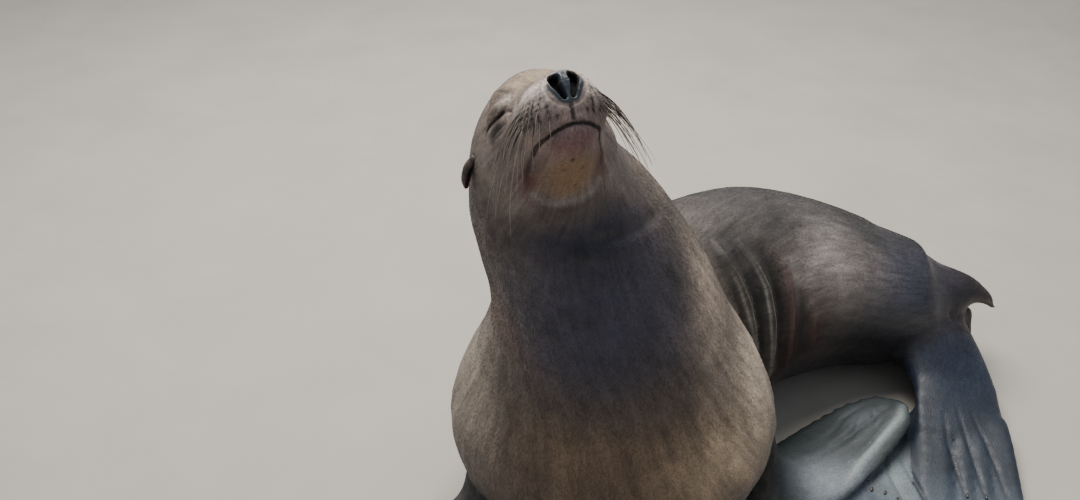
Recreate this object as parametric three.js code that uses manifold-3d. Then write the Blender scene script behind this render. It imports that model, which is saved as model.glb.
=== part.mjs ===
// A life-size California sea lion that sits up, nose raised, its hindquarters swung round to its left.
// Units are millimetres, +Z is up. The chest faces -Y and the tail points to +X.
// Tail, trunk, neck and head are one loft through sections set along the spine; each flipper is a loft
// along its limb. manifold-3d joins them, trims them flat at the floor and parts them with thin cuts.
import * as THREE from 'three';
import { LoftGeometry } from 'three/addons/geometries/LoftGeometry.js';
import { mergeVertices } from 'three/addons/utils/BufferGeometryUtils.js';
import Module from 'manifold-3d';

const wasm = await Module();
wasm.setup();

// ---- Driving dimensions -------------------------------------------------------------------------------
const GAP = 0.4; // clearance between neighbouring pieces
const FACET = 0.1; // facets that differ by less than this are joined
const BODY_COLUMNS = 26; // points round a section of the body
const LIMB_COLUMNS = 12;
const TOE_COLUMNS = 6;
const EAR_COLUMNS = 8;
const BODY_STEP = 42; // distance between sections along the body
const HEAD_STEP = 12;
const LIMB_STEP = 36;
const TOE_STEP = 90;
const EAR_STEP = 14;
const BALL_SEGMENTS = { default: 12, lids: 10, nostril: 8, claw: 6 };
const FLOOR = { size: 2800, depth: 400 };

const HEAD_PLACE = [-112, -107, 697]; // the point between the ears
const HEAD_TURN = { yaw: 14, pitch: -52.5, roll: -6 }; // degrees: to its left, nose up, leaning to its right

// ---- Trunk, chest and neck ------------------------------------------------------------------------------
// at = a point on the middle line, wide = reach to the left and the right, high and low = reach towards the
// back and the belly, dorsal = the direction of the back.
const TRUNK = [ // from the tail to inside the chest
  { at: [768, 342, 128], wide: [5, 5], high: 4, low: 4 },
  { at: [752, 352, 148], wide: [17, 17], high: 13, low: 13 },
  { at: [724, 362, 162], wide: [29, 29], high: 24, low: 28 },
  { at: [700, 368, 156], wide: [48, 48], high: 44, low: 60, step: 12 },
  { at: [668, 373, 142], wide: [84, 84], high: 76, low: 106, step: 16 },
  { at: [630, 375, 134], wide: [108, 108], high: 103, low: 130, step: 20 },
  { at: [580, 375, 138], wide: [126, 126], high: 122, low: 138 },
  { at: [520, 378, 142], wide: [142, 142], high: 138, low: 146 },
  { at: [440, 380, 156], wide: [158, 158], high: 160, low: 162 },
  { at: [350, 360, 172], wide: [170, 172], high: 185, low: 180 },
  { at: [250, 310, 190], wide: [172, 184], high: 208, low: 198 },
  { at: [165, 232, 206], wide: [164, 200], high: 204, low: 210, dorsal: [0, 0.2, 1] },
  { at: [95, 140, 220], wide: [150, 212], high: 190, low: 200, dorsal: [0, 0.25, 1] },
  { at: [40, 50, 230], wide: [110, 202], high: 162, low: 160, dorsal: [0, 0.25, 1] },
];
const CHEST = [ // from the brisket up to the nape
  { at: [6, -28, 46], wide: [92, 98], high: 110, low: 76, dorsal: [0, 1, -0.25] },
  { at: [6, -24, 62], wide: [150, 160], high: 170, low: 128, dorsal: [0, 1, -0.22] },
  { at: [6, -20, 100], wide: [206, 216], high: 210, low: 186, dorsal: [0, 1, -0.15] },
  { at: [5, -18, 160], wide: [244, 246], high: 224, low: 226, dorsal: [0, 1, -0.05] },
  { at: [3, -20, 228], wide: [251, 254], high: 226, low: 242, dorsal: [0, 1, 0] },
  { at: [0, -24, 300], wide: [224, 236], high: 210, low: 232, dorsal: [0, 1, 0.1] },
  { at: [-8, -34, 376], wide: [182, 200], high: 186, low: 208, dorsal: [0, 1, 0.2] },
  { at: [-24, -46, 460], wide: [156, 162], high: 160, low: 182, dorsal: [0, 1, 0.2] },
  { at: [-48, -60, 540], wide: [133, 141], high: 140, low: 158, dorsal: [0, 1, 0.2] },
  { at: [-74, -72, 602], wide: [116, 127], high: 126, low: 144, dorsal: [-0.1, 1, 0.26] },
  { at: [-96, -90, 654], wide: [99, 110], high: 110, low: 127, dorsal: [-0.2, 0.88, 0.42] },
  { at: [-105, -106, 694], wide: [94, 92], high: 108, low: 117, dorsal: [-0.25, 0.82, 0.52], step: 15 },
];

// ---- Head, in its own frame: x to its left, y back, z up, the origin between the ears -------------------
const HEAD = [
  { at: [0, -74, 3], wide: [69, 65], high: 82, low: 89 },
  { at: [0, -105, 0], wide: [54, 53], high: 57, low: 72 },
  { at: [0, -130, 0], wide: [46, 45], high: 42, low: 62 },
  { at: [0, -152, -1], wide: [42, 41], high: 34, low: 55 },
  { at: [0, -170, -2], wide: [36, 36], high: 29, low: 47 },
  { at: [0, -184, -4], wide: [27, 27], high: 23, low: 34 },
  { at: [0, -191, -6], wide: [14, 14], high: 12, low: 17 },
];

// Swellings and hollows of the head: how far they stand out and over what reach they fade.
const HEAD_FORM = [
  { name: 'whisker pad', at: [36, -152, -18], reach: [24, 26, 19], push: 8 },
  { name: 'chin', at: [0, -150, -62], reach: [28, 24, 18], push: 3 },
  { name: 'lip corner', at: [44, -104, -48], reach: [18, 22, 16], push: 4 },
  { name: 'brow', at: [42, -82, 48], reach: [18, 26, 14], push: 5 },
  { name: 'eye socket', at: [50, -108, 22], reach: [18, 16, 13], push: -4 },
  { name: 'cheek', at: [76, -52, -22], reach: [34, 36, 34], push: 4 },
];
const EYE = { at: [39, -83, 18], radius: 17 }; // the left one
const SLIT = { at: [60, -87, 24], half: [17, 21, 2.8], lean: [0, -14, -23] }; // between its nearly shut lids
const NOSE = { at: [0, -190, -1], half: [21, 17, 20], proud: 1.2 };
const NOSTRIL = { at: [9, -199, 2], half: [4.5, 14, 10.5], lean: [0, 24, 0] };
const EARS = [
  { name: 'left', line: [[76, -21, 18], [95, -12, 10], [106, -1, -2], [111, 9, -12]] },
  { name: 'right', line: [[-68, -20, 22], [-90, -6, 12], [-96, 8, -2], [-94, 17, -10]] },
];
const EAR_GIRTH = [4, 6.5, 6, 2.5]; // half the rolled ear's width along its line
const EAR_FLAT = 0.6; // its thickness over its width
// The mouth, and behind its corners the jaw's edge under the skin, as y and z.
const MOUTH = [[-230, -41], [-186, -39], [-165, -38], [-140, -40], [-112, -46], [-92, -62], [-80, -130]];
const MOUTH_POINTS = 14;
const MOUTH_CUT_WIDTH = 200;

// ---- Flipper stations -----------------------------------------------------------------------------------
// edge > 0 thickens the left side of the blade, seen along the limb from above, < 0 its right side.
const FORE_LEFT = [
  { at: [180, 30, 250], wide: 74, high: 60, low: 60, dorsal: [1, 0, 0.2] },
  { at: [214, 12, 175], wide: 82, high: 50, low: 50, dorsal: [1, 0, 0.15] },
  { at: [232, -6, 112], wide: 76, high: 46, low: 46, dorsal: [1, -0.1, 0.3] },
  { at: [262, -14, 58], wide: 76, high: 36, low: 36, dorsal: [0.6, -0.2, 0.8] },
  { at: [322, 12, 23], wide: 80, high: 22, low: 25, edge: -0.2 },
  { at: [398, 62, 24], wide: 77, high: 13, low: 13, edge: -0.3 },
  { at: [470, 110, 42], wide: 66, high: 10, low: 10, edge: -0.3 },
  { at: [526, 144, 54], wide: 44, high: 8, low: 8, edge: -0.3 },
  { at: [550, 158, 56], wide: 12, high: 4, low: 4 },
];
const FORE_RIGHT = [
  { at: [-140, 0, 250], wide: 74, high: 60, low: 60, dorsal: [-1, 0, 0.2] },
  { at: [-170, -34, 175], wide: 82, high: 50, low: 50, dorsal: [-1, 0, 0.15] },
  { at: [-182, -66, 112], wide: 76, high: 46, low: 46, dorsal: [-1, -0.1, 0.3] },
  { at: [-200, -106, 58], wide: 76, high: 36, low: 36, dorsal: [-0.6, -0.2, 0.8] },
  { at: [-258, -148, 23], wide: 80, high: 20, low: 23, edge: 0.2 },
  { at: [-338, -184, 14], wide: 76, high: 13, low: 15, edge: 0.3 },
  { at: [-416, -214, 10], wide: 64, high: 10, low: 11, edge: 0.3 },
  { at: [-474, -236, 8], wide: 42, high: 8, low: 9, edge: 0.3 },
  { at: [-498, -245, 5], wide: 12, high: 4, low: 5 },
];
const HIND_LEFT = [
  { at: [580, 372, 136], wide: 96, high: 88, low: 92 },
  { at: [610, 338, 116], wide: 92, high: 76, low: 82 },
  { at: [644, 280, 82], wide: 84, high: 52, low: 60 },
  { at: [659, 205, 54], wide: 84, high: 27, low: 30, dorsal: [0.14, 0, 1] },
  { at: [650, 140, 40], wide: 84, high: 15, low: 18, dorsal: [0.14, 0, 1] },
  { at: [638, 90, 32], wide: 82, high: 8, low: 10, dorsal: [0.1, 0, 1] },
];
const HIND_RIGHT = [
  { at: [700, 398, 92], wide: 54, high: 46, low: 56 },
  { at: [688, 340, 62], wide: 50, high: 40, low: 46 },
  { at: [672, 260, 38], wide: 46, high: 24, low: 30 },
  { at: [640, 185, 20], wide: 45, high: 15, low: 20 },
  { at: [584, 115, 12], wide: 54, high: 11, low: 13 },
];
// The toes fan from the instep to the tips: side = where each lies across the fan, from -1 to 1,
// girth = its half-width, reach = its length over the fan's.
const FEET = [
  {
    name: 'left', instep: [652, 152, 38], tips: [592, -78, 4], fan: [78, 92], thick: 14,
    toes: [
      { side: 0.56, girth: 39, reach: 1.1 },
      { side: 0.0, girth: 18, reach: 0.96 },
      { side: -0.34, girth: 18, reach: 0.94 },
      { side: -0.68, girth: 18, reach: 0.97 },
      { side: -0.9, girth: 14, reach: 1.06 },
    ],
  },
  {
    name: 'right', instep: [582, 148, 13], tips: [448, -70, 4], fan: [50, 66], thick: 11,
    toes: [
      { side: 0.86, girth: 15, reach: 1.06 },
      { side: 0.48, girth: 14, reach: 0.96 },
      { side: 0.14, girth: 14, reach: 0.94 },
      { side: -0.2, girth: 14, reach: 0.96 },
      { side: -0.66, girth: 24, reach: 1.08 },
    ],
  },
];
const TOE_PROFILE = [ // shares of a toe's reach, girth and thickness
  { part: 0, wide: 1, high: 1, low: 1 },
  { part: 0.5, wide: 1, high: 0.85, low: 0.9 },
  { part: 0.85, wide: 0.95, high: 0.5, low: 0.6 },
  { part: 1, wide: 0.5, high: 0.2, low: 0.3 },
];
const CLAW = { half: [3.2, 6, 2.4], part: 0.8, rise: 0.5, toes: [1, 2, 3] }; // part = share of the reach

// Where the body is parted: a point of each cut and the direction it is square to.
const NAPE_CUT = { at: [0, 16, 0], facing: [0, -1, 0] }; // in the head's frame
const BODY_CUTS = [
  { at: [-10, -36, 402], facing: [-0.2, -0.3, 1], size: 620 }, // neck from chest
  { at: [210, 274, 200], facing: [0.63, 0.77, 0], size: 480 }, // chest from flank
  { at: [560, 375, 140], facing: [1, 0, 0], size: 420 }, // flank from rump
  { at: [694, 370, 140], facing: [0.95, -0.2, -0.1], size: 260 }, // rump from tail
];
const NAPE_CUT_SIZE = 340;
const LIMB_CUT_SIZE = 280;

// ---- Helpers --------------------------------------------------------------------------------------------
const UP = [0, 0, 1];
const vector = (p) => new THREE.Vector3(...p);
const radians = THREE.MathUtils.degToRad;
const { lerp } = THREE.MathUtils;

const headMatrix = new THREE.Matrix4().compose(
  vector(HEAD_PLACE),
  new THREE.Quaternion().setFromEuler(new THREE.Euler(
    radians(HEAD_TURN.pitch), radians(HEAD_TURN.roll), radians(HEAD_TURN.yaw), 'ZXY')),
  vector([1, 1, 1]),
);
const headInverse = headMatrix.clone().invert();
const onHead = (p) => vector(p).applyMatrix4(headMatrix).toArray();
const alongHead = (d) => vector(d).transformDirection(headMatrix).toArray();

// A closed geometry as a manifold-3d solid.
function solid(geometry) {
  const bare = new THREE.BufferGeometry();
  bare.setAttribute('position', geometry.getAttribute('position'));
  bare.setIndex(geometry.index);
  const merged = mergeVertices(bare, 1e-3);
  return new wasm.Manifold(new wasm.Mesh({
    numProp: 3,
    vertProperties: merged.attributes.position.array,
    triVerts: new Uint32Array(merged.index.array),
  }));
}

// A solid back as three.js geometry.
function geometryOf(made) {
  const { numProp, vertProperties, triVerts } = made.simplify(FACET).getMesh();
  const geometry = new THREE.BufferGeometry();
  geometry.setAttribute('position', new THREE.BufferAttribute(new Float32Array(vertProperties), numProp));
  geometry.setIndex(new THREE.BufferAttribute(triVerts, 1));
  geometry.computeVertexNormals();
  return geometry;
}

const unite = (solids) => solids.reduce((all, one) => all.add(one));
const mirrored = (made) => made.mirror([1, 0, 0]);
const placeHead = (made) => made.transform(headMatrix.elements);

// How far a list of swellings pushes a point out.
const swelling = (bumps, p) => bumps.reduce((sum, { at, reach, push }) => {
  const off = p.clone().sub(vector(at)).divide(vector(reach));
  return sum + push * Math.exp(-off.lengthSq());
}, 0);

// The same swellings on both sides of the head.
const bothSides = (bumps) => bumps.flatMap((bump) =>
  (bump.at[0] ? [bump, { ...bump, at: [-bump.at[0], bump.at[1], bump.at[2]] }] : [bump]));

// Gives each station the spacing of the rows that follow it, unless it has its own.
const paced = (stations, step) => stations.map((s) => ({ step, ...s }));

// A loft through stations, larger all round by grow and pushed out by shape.
function loft(stations, { columns, grow = 0, shape = () => 0 }) {
  const through = (pick) =>
    new THREE.CatmullRomCurve3(stations.map((s) => vector(pick(s))), false, 'centripetal');
  const place = through((s) => s.at);
  const back = through((s) => s.dorsal ?? UP);
  const across = through(({ wide }) => [[wide].flat()[0], [wide].flat().at(-1), 0]);
  const tall = through((s) => [s.high, s.low, s.edge ?? 0]);
  const spans = stations.length - 1;
  const rows = stations.slice(0, -1).flatMap((s, i) => {
    const length = vector(s.at).distanceTo(vector(stations[i + 1].at));
    const cuts = Math.max(1, Math.round(length / s.step));
    return Array.from({ length: cuts }, (_, k) => (i + k / cuts) / spans);
  });
  const rings = [...rows, 1].map((t) => {
    const centre = place.getPoint(t);
    const forward = place.getTangent(t);
    const left = back.getPoint(t).cross(forward).normalize();
    const up = forward.clone().cross(left);
    const wide = across.getPoint(t);
    const high = tall.getPoint(t);
    return Array.from({ length: columns }, (_, j) => {
      const turn = (j / columns) * 2 * Math.PI;
      const c = Math.cos(turn);
      const s = Math.sin(turn);
      const offset = left.clone().multiplyScalar(c * ((c > 0 ? wide.x : wide.y) + grow));
      offset.addScaledVector(up, s * ((s > 0 ? high.x : high.y) + grow) * (1 + high.z * c));
      const point = centre.clone().add(offset);
      return point.addScaledVector(offset.normalize(), shape(point));
    });
  });
  return solid(new LoftGeometry(rings, { capStart: true, capEnd: true }));
}

// An ellipsoid, turned about x, then y, then z, in degrees.
function ball(half, at, { lean = [0, 0, 0], segments = BALL_SEGMENTS.default } = {}) {
  const [x, y, z] = lean.map(radians);
  const geometry = new THREE.SphereGeometry(1, segments, Math.round(segments / 2));
  geometry.scale(...half).rotateX(x).rotateY(y).rotateZ(z).translate(...at);
  return solid(geometry);
}

// A thin slab through a point, square to a direction.
function slab({ at, facing, size }) {
  const turn = new THREE.Quaternion().setFromUnitVectors(vector(UP), vector(facing).normalize());
  return solid(new THREE.BoxGeometry(size, size, GAP).applyQuaternion(turn).translate(...at));
}

// ---- Trunk, neck and head -------------------------------------------------------------------------------
const headForm = bothSides(HEAD_FORM);
const headShape = (p) => swelling(headForm, p.clone().applyMatrix4(headInverse));
const headStations = HEAD.map((s) => ({ ...s, at: onHead(s.at), dorsal: alongHead(UP) }));
const upright = [...paced(CHEST, BODY_STEP), ...paced(headStations, HEAD_STEP)];

// Everything but the flippers.
function torso(grow = 0) {
  const options = { columns: BODY_COLUMNS, grow, shape: headShape };
  return loft(paced(TRUNK, BODY_STEP), options).add(loft(upright, options));
}

const floor = solid(
  new THREE.BoxGeometry(FLOOR.size, FLOOR.size, FLOOR.depth).translate(0, 0, -FLOOR.depth / 2));

// The mouth's cut, following its line from the lips to the throat. It is drawn in the head's y and z, and
// reaches across the head.
function mouthCut() {
  const line = new THREE.SplineCurve(MOUTH.map(([y, z]) => new THREE.Vector2(y, z))).getPoints(MOUTH_POINTS);
  const above = line.map((p) => new THREE.Vector2(p.x, p.y + GAP / 2));
  const below = line.map((p) => new THREE.Vector2(p.x, p.y - GAP / 2)).reverse();
  const shape = new THREE.Shape([...above, ...below]);
  const sheet = new THREE.ExtrudeGeometry(shape, { depth: MOUTH_CUT_WIDTH, bevelEnabled: false });
  const basis = new THREE.Matrix4().makeBasis(vector([0, 1, 0]), vector([0, 0, 1]), vector([1, 0, 0]));
  return placeHead(solid(sheet.applyMatrix4(basis).translate(-MOUTH_CUT_WIDTH / 2, 0, 0)));
}

// What is let into the head: eyeballs, the gaps between their lids, nostrils, the nose pad and the ears.
const eyeball = (grow) => ball(Array(3).fill(EYE.radius + grow), EYE.at);
const lidGap = ball(SLIT.half, SLIT.at, { lean: SLIT.lean, segments: BALL_SEGMENTS.lids });
const nostril = ball(NOSTRIL.half, NOSTRIL.at, { lean: NOSTRIL.lean, segments: BALL_SEGMENTS.nostril });
const nosePad = (grow) => ball(NOSE.half.map((h) => h + grow), NOSE.at);
const ear = (line, grow) => loft(paced(line.map((at, i) => ({
  at,
  wide: EAR_GIRTH[i] + grow,
  high: EAR_GIRTH[i] * EAR_FLAT + grow,
  low: EAR_GIRTH[i] * EAR_FLAT + grow,
  dorsal: [Math.sign(at[0]), 0, 0],
})), EAR_STEP), { columns: EAR_COLUMNS });

const aroundTorso = torso(GAP);
const pits = [eyeball(GAP), lidGap, nostril];
const ears = EARS.map(({ line }) => ear(line, GAP));
const hollows = placeHead(unite([...pits, ...pits.map(mirrored), nosePad(GAP), ...ears]));
const napeCut = {
  at: onHead(NAPE_CUT.at),
  facing: alongHead(NAPE_CUT.facing),
  size: NAPE_CUT_SIZE,
};
const cuts = unite([...BODY_CUTS, napeCut].map(slab)).add(mouthCut());
const flesh = torso().subtract(floor).subtract(hollows).subtract(cuts).decompose();

// ---- Flippers -------------------------------------------------------------------------------------------
const limb = (stations, grow) => loft(paced(stations, LIMB_STEP), { columns: LIMB_COLUMNS, grow });

// A point on a toe's middle line: part = 0 at the instep, 1 at the tips.
function alongToe({ instep, tips, fan }, side, part) {
  const line = vector(tips).sub(vector(instep));
  const across = line.clone().cross(vector(UP)).normalize();
  const point = vector(instep).addScaledVector(line, part);
  return point.addScaledVector(across, side * lerp(fan[0], fan[1], part)).toArray();
}

// A foot of toes side by side, which narrow and thin towards their tips.
function foot(shape, grow) {
  const { thick, toes } = shape;
  return unite(toes.map(({ side, girth, reach }) => {
    const at = (part) => alongToe(shape, side, part);
    const stations = TOE_PROFILE.map(({ part, wide, high, low }) =>
      ({ at: at(part * reach), wide: girth * wide, high: thick * high, low: thick * low }));
    return loft(paced(stations, TOE_STEP), { columns: TOE_COLUMNS, grow });
  }));
}

// The claws lie along the tops of the middle toes.
function claws(shape, grow) {
  const line = vector(shape.tips).sub(vector(shape.instep));
  const turn = THREE.MathUtils.radToDeg(Math.atan2(line.y, line.x)) - 90;
  return CLAW.toes.map((n) => {
    const { side, reach } = shape.toes[n];
    const [x, y, z] = alongToe(shape, side, reach * CLAW.part);
    const half = CLAW.half.map((h) => h + grow);
    const at = [x, y, z + shape.thick * CLAW.rise];
    return ball(half, at, { lean: [0, 0, turn], segments: BALL_SEGMENTS.claw });
  });
}

const [leftFoot, rightFoot] = FEET;
const foreLeft = (grow) => limb(FORE_LEFT, grow);
const foreRight = (grow) => limb(FORE_RIGHT, grow);
const hindLeft = (grow) => limb(HIND_LEFT, grow).add(foot(leftFoot, grow));
const hindRight = (grow) => limb(HIND_RIGHT, grow).add(foot(rightFoot, grow));

// Each flipper, less what lies over it; cut = where its blade begins, root = a point of its upper part.
const FLIPPERS = [
  {
    upper: 'forearm_left', blade: 'fore_flipper_left', made: foreLeft(0).subtract(hindLeft(GAP)),
    cut: { at: [276, -8, 48], facing: [0.8, 0.15, -0.6] }, root: [240, 0, 100],
  },
  {
    upper: 'forearm_right', blade: 'fore_flipper_right', made: foreRight(0),
    cut: { at: [-214, -118, 48], facing: [-0.7, -0.45, -0.55] }, root: [-190, -60, 100],
  },
  {
    upper: 'hind_leg_left', blade: 'hind_flipper_left', made: hindLeft(0),
    cut: { at: [660, 205, 54], facing: [0, 1, 0.25] }, root: [640, 280, 80],
  },
  {
    upper: 'hind_leg_right', blade: 'hind_flipper_right',
    made: hindRight(0).subtract(hindLeft(GAP)).subtract(foreLeft(GAP)),
    cut: { at: [650, 240, 34], facing: [0, 1, 0.1] }, root: [680, 320, 50],
  },
];

// ---- The pieces -----------------------------------------------------------------------------------------
const FINISH = {
  face: { color: 0x5b4a40, roughness: 0.72 },
  chin: { color: 0x7a5a45, roughness: 0.7 },
  throat: { color: 0x463a39, roughness: 0.62 },
  breast: { color: 0x56463b, roughness: 0.7 },
  side: { color: 0x4b423c, roughness: 0.6 },
  rump: { color: 0x2f2d30, roughness: 0.5 },
  flipper: { color: 0x39414a, roughness: 0.42 },
  nose: { color: 0x252f38, roughness: 0.25 },
  eye: { color: 0x0b0d0c, roughness: 0.08 },
  claw: { color: 0x201c1a, roughness: 0.4 },
};
const seaLion = new THREE.Group();
seaLion.name = 'sea_lion';

function piece(name, made, finish) {
  const material = new THREE.MeshStandardMaterial({ ...FINISH[finish], metalness: 0 });
  const mesh = new THREE.Mesh(geometryOf(made), material);
  mesh.name = name;
  seaLion.add(mesh);
}

// The pieces of a cut solid are told apart by the middles of their bounds.
const distance = (made, at) => {
  const { min, max } = made.boundingBox();
  return vector(min).lerp(vector(max), 0.5).distanceTo(vector(at));
};
const nearest = (solids, at) => solids.reduce((best, one) =>
  (distance(one, at) < distance(best, at) ? one : best));

piece('head', nearest(flesh, onHead([0, -60, 10])), 'face');
piece('lower_jaw', nearest(flesh, onHead([0, -130, -60])), 'chin');
piece('neck', nearest(flesh, [-45, -60, 540]), 'throat');
piece('chest', nearest(flesh, [20, 0, 200]), 'breast');
piece('flank', nearest(flesh, [380, 350, 190]), 'side');
piece('rump', nearest(flesh, [630, 375, 130]), 'rump');
piece('tail', nearest(flesh, [740, 357, 150]), 'rump');

const pierced = nosePad(0).subtract(nostril).subtract(mirrored(nostril));
piece('nose', placeHead(pierced).intersect(torso(NOSE.proud)), 'nose');
piece('eye_left', placeHead(eyeball(0)), 'eye');
piece('eye_right', placeHead(mirrored(eyeball(0))), 'eye');
EARS.forEach(({ name, line }) =>
  piece(`ear_${name}`, placeHead(ear(line, 0)).subtract(aroundTorso), 'face'));

const clawBeds = unite(FEET.flatMap((shape) => claws(shape, GAP)));
FLIPPERS.forEach(({ upper, blade, made, cut, root }) => {
  const trimmed = made.subtract(aroundTorso).subtract(clawBeds).subtract(floor);
  const parted = trimmed.subtract(slab({ ...cut, size: LIMB_CUT_SIZE })).decompose();
  const halves = parted.sort((a, b) => b.volume() - a.volume()).slice(0, 2);
  const near = nearest(halves, root);
  piece(upper, near, 'rump');
  piece(blade, halves.find((one) => one !== near), 'flipper');
});
FEET.forEach((shape) => claws(shape, 0).forEach((claw, n) =>
  piece(`claw_${shape.name}_${CLAW.toes[n] + 1}`, claw, 'claw')));

// The origin lies under the middle of the whole, on the floor.
const middle = new THREE.Box3().setFromObject(seaLion).getCenter(new THREE.Vector3());
seaLion.position.set(-middle.x, -middle.y, 0);

export default seaLion;
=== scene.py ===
# %% [markdown]
# # A sea lion with its nose in the air
# The solids of this part already hold the animal's size, its pose and its outline, cut into named pieces
# such as `head`, `neck` and `flank`. This notebook gives it its looks: one skin without seams, folds and
# lids, a coat of short hair, whiskers, wet eyes, nails, and the studio that it sits in. Everything is in
# metres, in the frame of the solids, so nothing has to be fitted afterwards.

import math

import bmesh
import bpy
import numpy as np
from mathutils import Matrix, Vector
from mathutils.bvhtree import BVHTree


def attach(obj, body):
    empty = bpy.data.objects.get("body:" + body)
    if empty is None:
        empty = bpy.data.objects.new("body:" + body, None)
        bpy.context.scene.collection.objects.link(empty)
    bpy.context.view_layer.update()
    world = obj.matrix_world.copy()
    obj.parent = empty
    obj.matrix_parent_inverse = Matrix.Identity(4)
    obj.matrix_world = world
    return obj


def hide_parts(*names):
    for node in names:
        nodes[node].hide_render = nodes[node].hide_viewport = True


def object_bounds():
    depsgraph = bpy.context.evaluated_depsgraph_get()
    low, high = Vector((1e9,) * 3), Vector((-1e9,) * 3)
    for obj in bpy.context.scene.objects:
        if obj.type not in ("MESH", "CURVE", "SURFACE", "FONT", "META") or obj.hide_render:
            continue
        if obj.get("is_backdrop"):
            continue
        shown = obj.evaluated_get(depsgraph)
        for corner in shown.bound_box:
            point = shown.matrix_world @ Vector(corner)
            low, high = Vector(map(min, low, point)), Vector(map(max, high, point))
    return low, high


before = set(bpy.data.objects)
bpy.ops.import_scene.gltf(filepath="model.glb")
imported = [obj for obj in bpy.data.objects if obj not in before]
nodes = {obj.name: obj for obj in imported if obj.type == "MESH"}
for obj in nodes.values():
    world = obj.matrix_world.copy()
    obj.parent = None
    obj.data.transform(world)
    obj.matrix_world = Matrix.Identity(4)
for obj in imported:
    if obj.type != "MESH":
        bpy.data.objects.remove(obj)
solid_box = [list(corner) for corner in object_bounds()]
MM = 0.001
print("solids:", len(nodes), "size in m:", [round(b - a, 3) for a, b in zip(*solid_box)])

# %% [markdown]
# ## The camera first
# A camera that is held at a person's chest and looks down at the animal decides which surfaces matter
# most, so it comes before the modelling. Blender's camera looks along its own -Z, so a camera that is
# turned 90 degrees about X looks at the horizon. This one is turned 56 degrees: 34 degrees below it.

# %% Camera
CAMERA_PLACE = (-0.2447, -1.2306, 1.24)
LOOKS_DOWN = 34
FOCAL_LENGTH = 31.33  # on a sensor 36 mm wide: a wide view of 60 degrees


def into_scene(name, data):
    """An object of this name that shows the data, in the scene."""
    thing = bpy.data.objects.new(name, data)
    bpy.context.scene.collection.objects.link(thing)
    return thing


camera = into_scene("camera", bpy.data.cameras.new("camera"))
camera.data.sensor_width = 36
camera.data.lens = FOCAL_LENGTH
camera.location = CAMERA_PLACE
camera.rotation_euler = (math.radians(90 - LOOKS_DOWN), 0, 0)
bpy.context.scene.camera = camera
print("camera:", CAMERA_PLACE, "looks down", LOOKS_DOWN, "degrees")

# %% [markdown]
# ## Working on many points at once
# A skin has a quarter of a million points, and a Python loop over them is slow. NumPy holds them in one
# array with three columns and moves all of them in one line. These helpers carry points, normals and edges
# from a mesh to an array, and points back.

# %% Points of a mesh
def array_of(items, name, width, kind=np.float32):
    """One property of all the items of a mesh, as an array of this width."""
    flat = np.empty(len(items) * width, kind)
    items.foreach_get(name, flat)
    return flat.reshape(-1, width)


def points_of(mesh):
    return array_of(mesh.vertices, "co", 3).astype(float)


def normals_of(mesh):
    return array_of(mesh.vertex_normals, "vector", 3).astype(float)


def edges_of(mesh):
    return array_of(mesh.edges, "vertices", 2, np.int32)


def set_points(mesh, points):
    mesh.vertices.foreach_set("co", points.astype(np.float32).ravel())
    mesh.update()


def unit(vectors):
    """The same directions, each one long."""
    return vectors / np.maximum(np.linalg.norm(vectors, axis=1, keepdims=True), 1e-9)


# %% [markdown]
# ## One skin over all the solids
# The solids meet at thin cuts. A real animal has no seams, so their copies are swollen until they overlap
# and are then melted into one closed surface by a *voxel remesh*, as a sculptor does before starting on
# the detail. The head is swollen more, which closes the gap between the eyelids: the lids are made
# again later, much finer. Copying and remeshing keeps the exact pose, which a skin built by hand would not.

# %% Melt the solids into one surface
VOXEL = 5 * MM
WELD = 0.01 * MM  # points nearer than this are one
USUAL_SWELL, HEAD_SWELL = 0.8, 3.2  # mm
SWELL = dict.fromkeys(("head", "lower_jaw", "nose", "eye_left", "eye_right"), HEAD_SWELL)
FLESH = [name for name in nodes if not name.startswith(("claw", "ear", "eye"))]


def mesh_from(work, name):
    """Ends an edit: a new mesh that holds what was edited."""
    mesh = bpy.data.meshes.new(name)
    work.to_mesh(mesh)
    work.free()
    return mesh


def welded(name):
    """An edit of a solid whose faces share their corners."""
    work = bmesh.new()
    work.from_mesh(nodes[name].data)
    bmesh.ops.remove_doubles(work, verts=work.verts, dist=WELD)
    return work


def swollen_copies(names):
    """One mesh of copies of the solids, each swollen along its normals."""
    joined = bmesh.new()
    for name in names:
        copy = welded(name)
        copy.normal_update()
        reach = SWELL.get(name, USUAL_SWELL) * MM
        for vertex in copy.verts:
            vertex.co += vertex.normal * reach
        mesh = mesh_from(copy, "copy")
        joined.from_mesh(mesh)
        bpy.data.meshes.remove(mesh)
    return mesh_from(joined, "swollen")


def applied(thing):
    """The mesh that an object's modifiers make of it. The object itself goes."""
    graph = bpy.context.evaluated_depsgraph_get()
    mesh = bpy.data.meshes.new_from_object(thing.evaluated_get(graph))
    bpy.data.objects.remove(thing)
    return mesh


rough = into_scene("rough", swollen_copies(FLESH + ["eye_left", "eye_right"]))
melt = rough.modifiers.new("melt", "REMESH")
melt.mode = "VOXEL"
melt.voxel_size = VOXEL
skin_mesh = applied(rough)
skin_mesh.name = "skin"
print("melted skin:", len(skin_mesh.vertices), "points")

# %% [markdown]
# ## Which piece each point came from
# Smoothing, colour and hair differ over the body, so each point of the skin asks which solid is nearest.
# A *bounding volume tree* answers that quickly. A value that belongs to some of the pieces is then spread
# over its neighbours, so that it fades instead of stopping at an edge.

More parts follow.
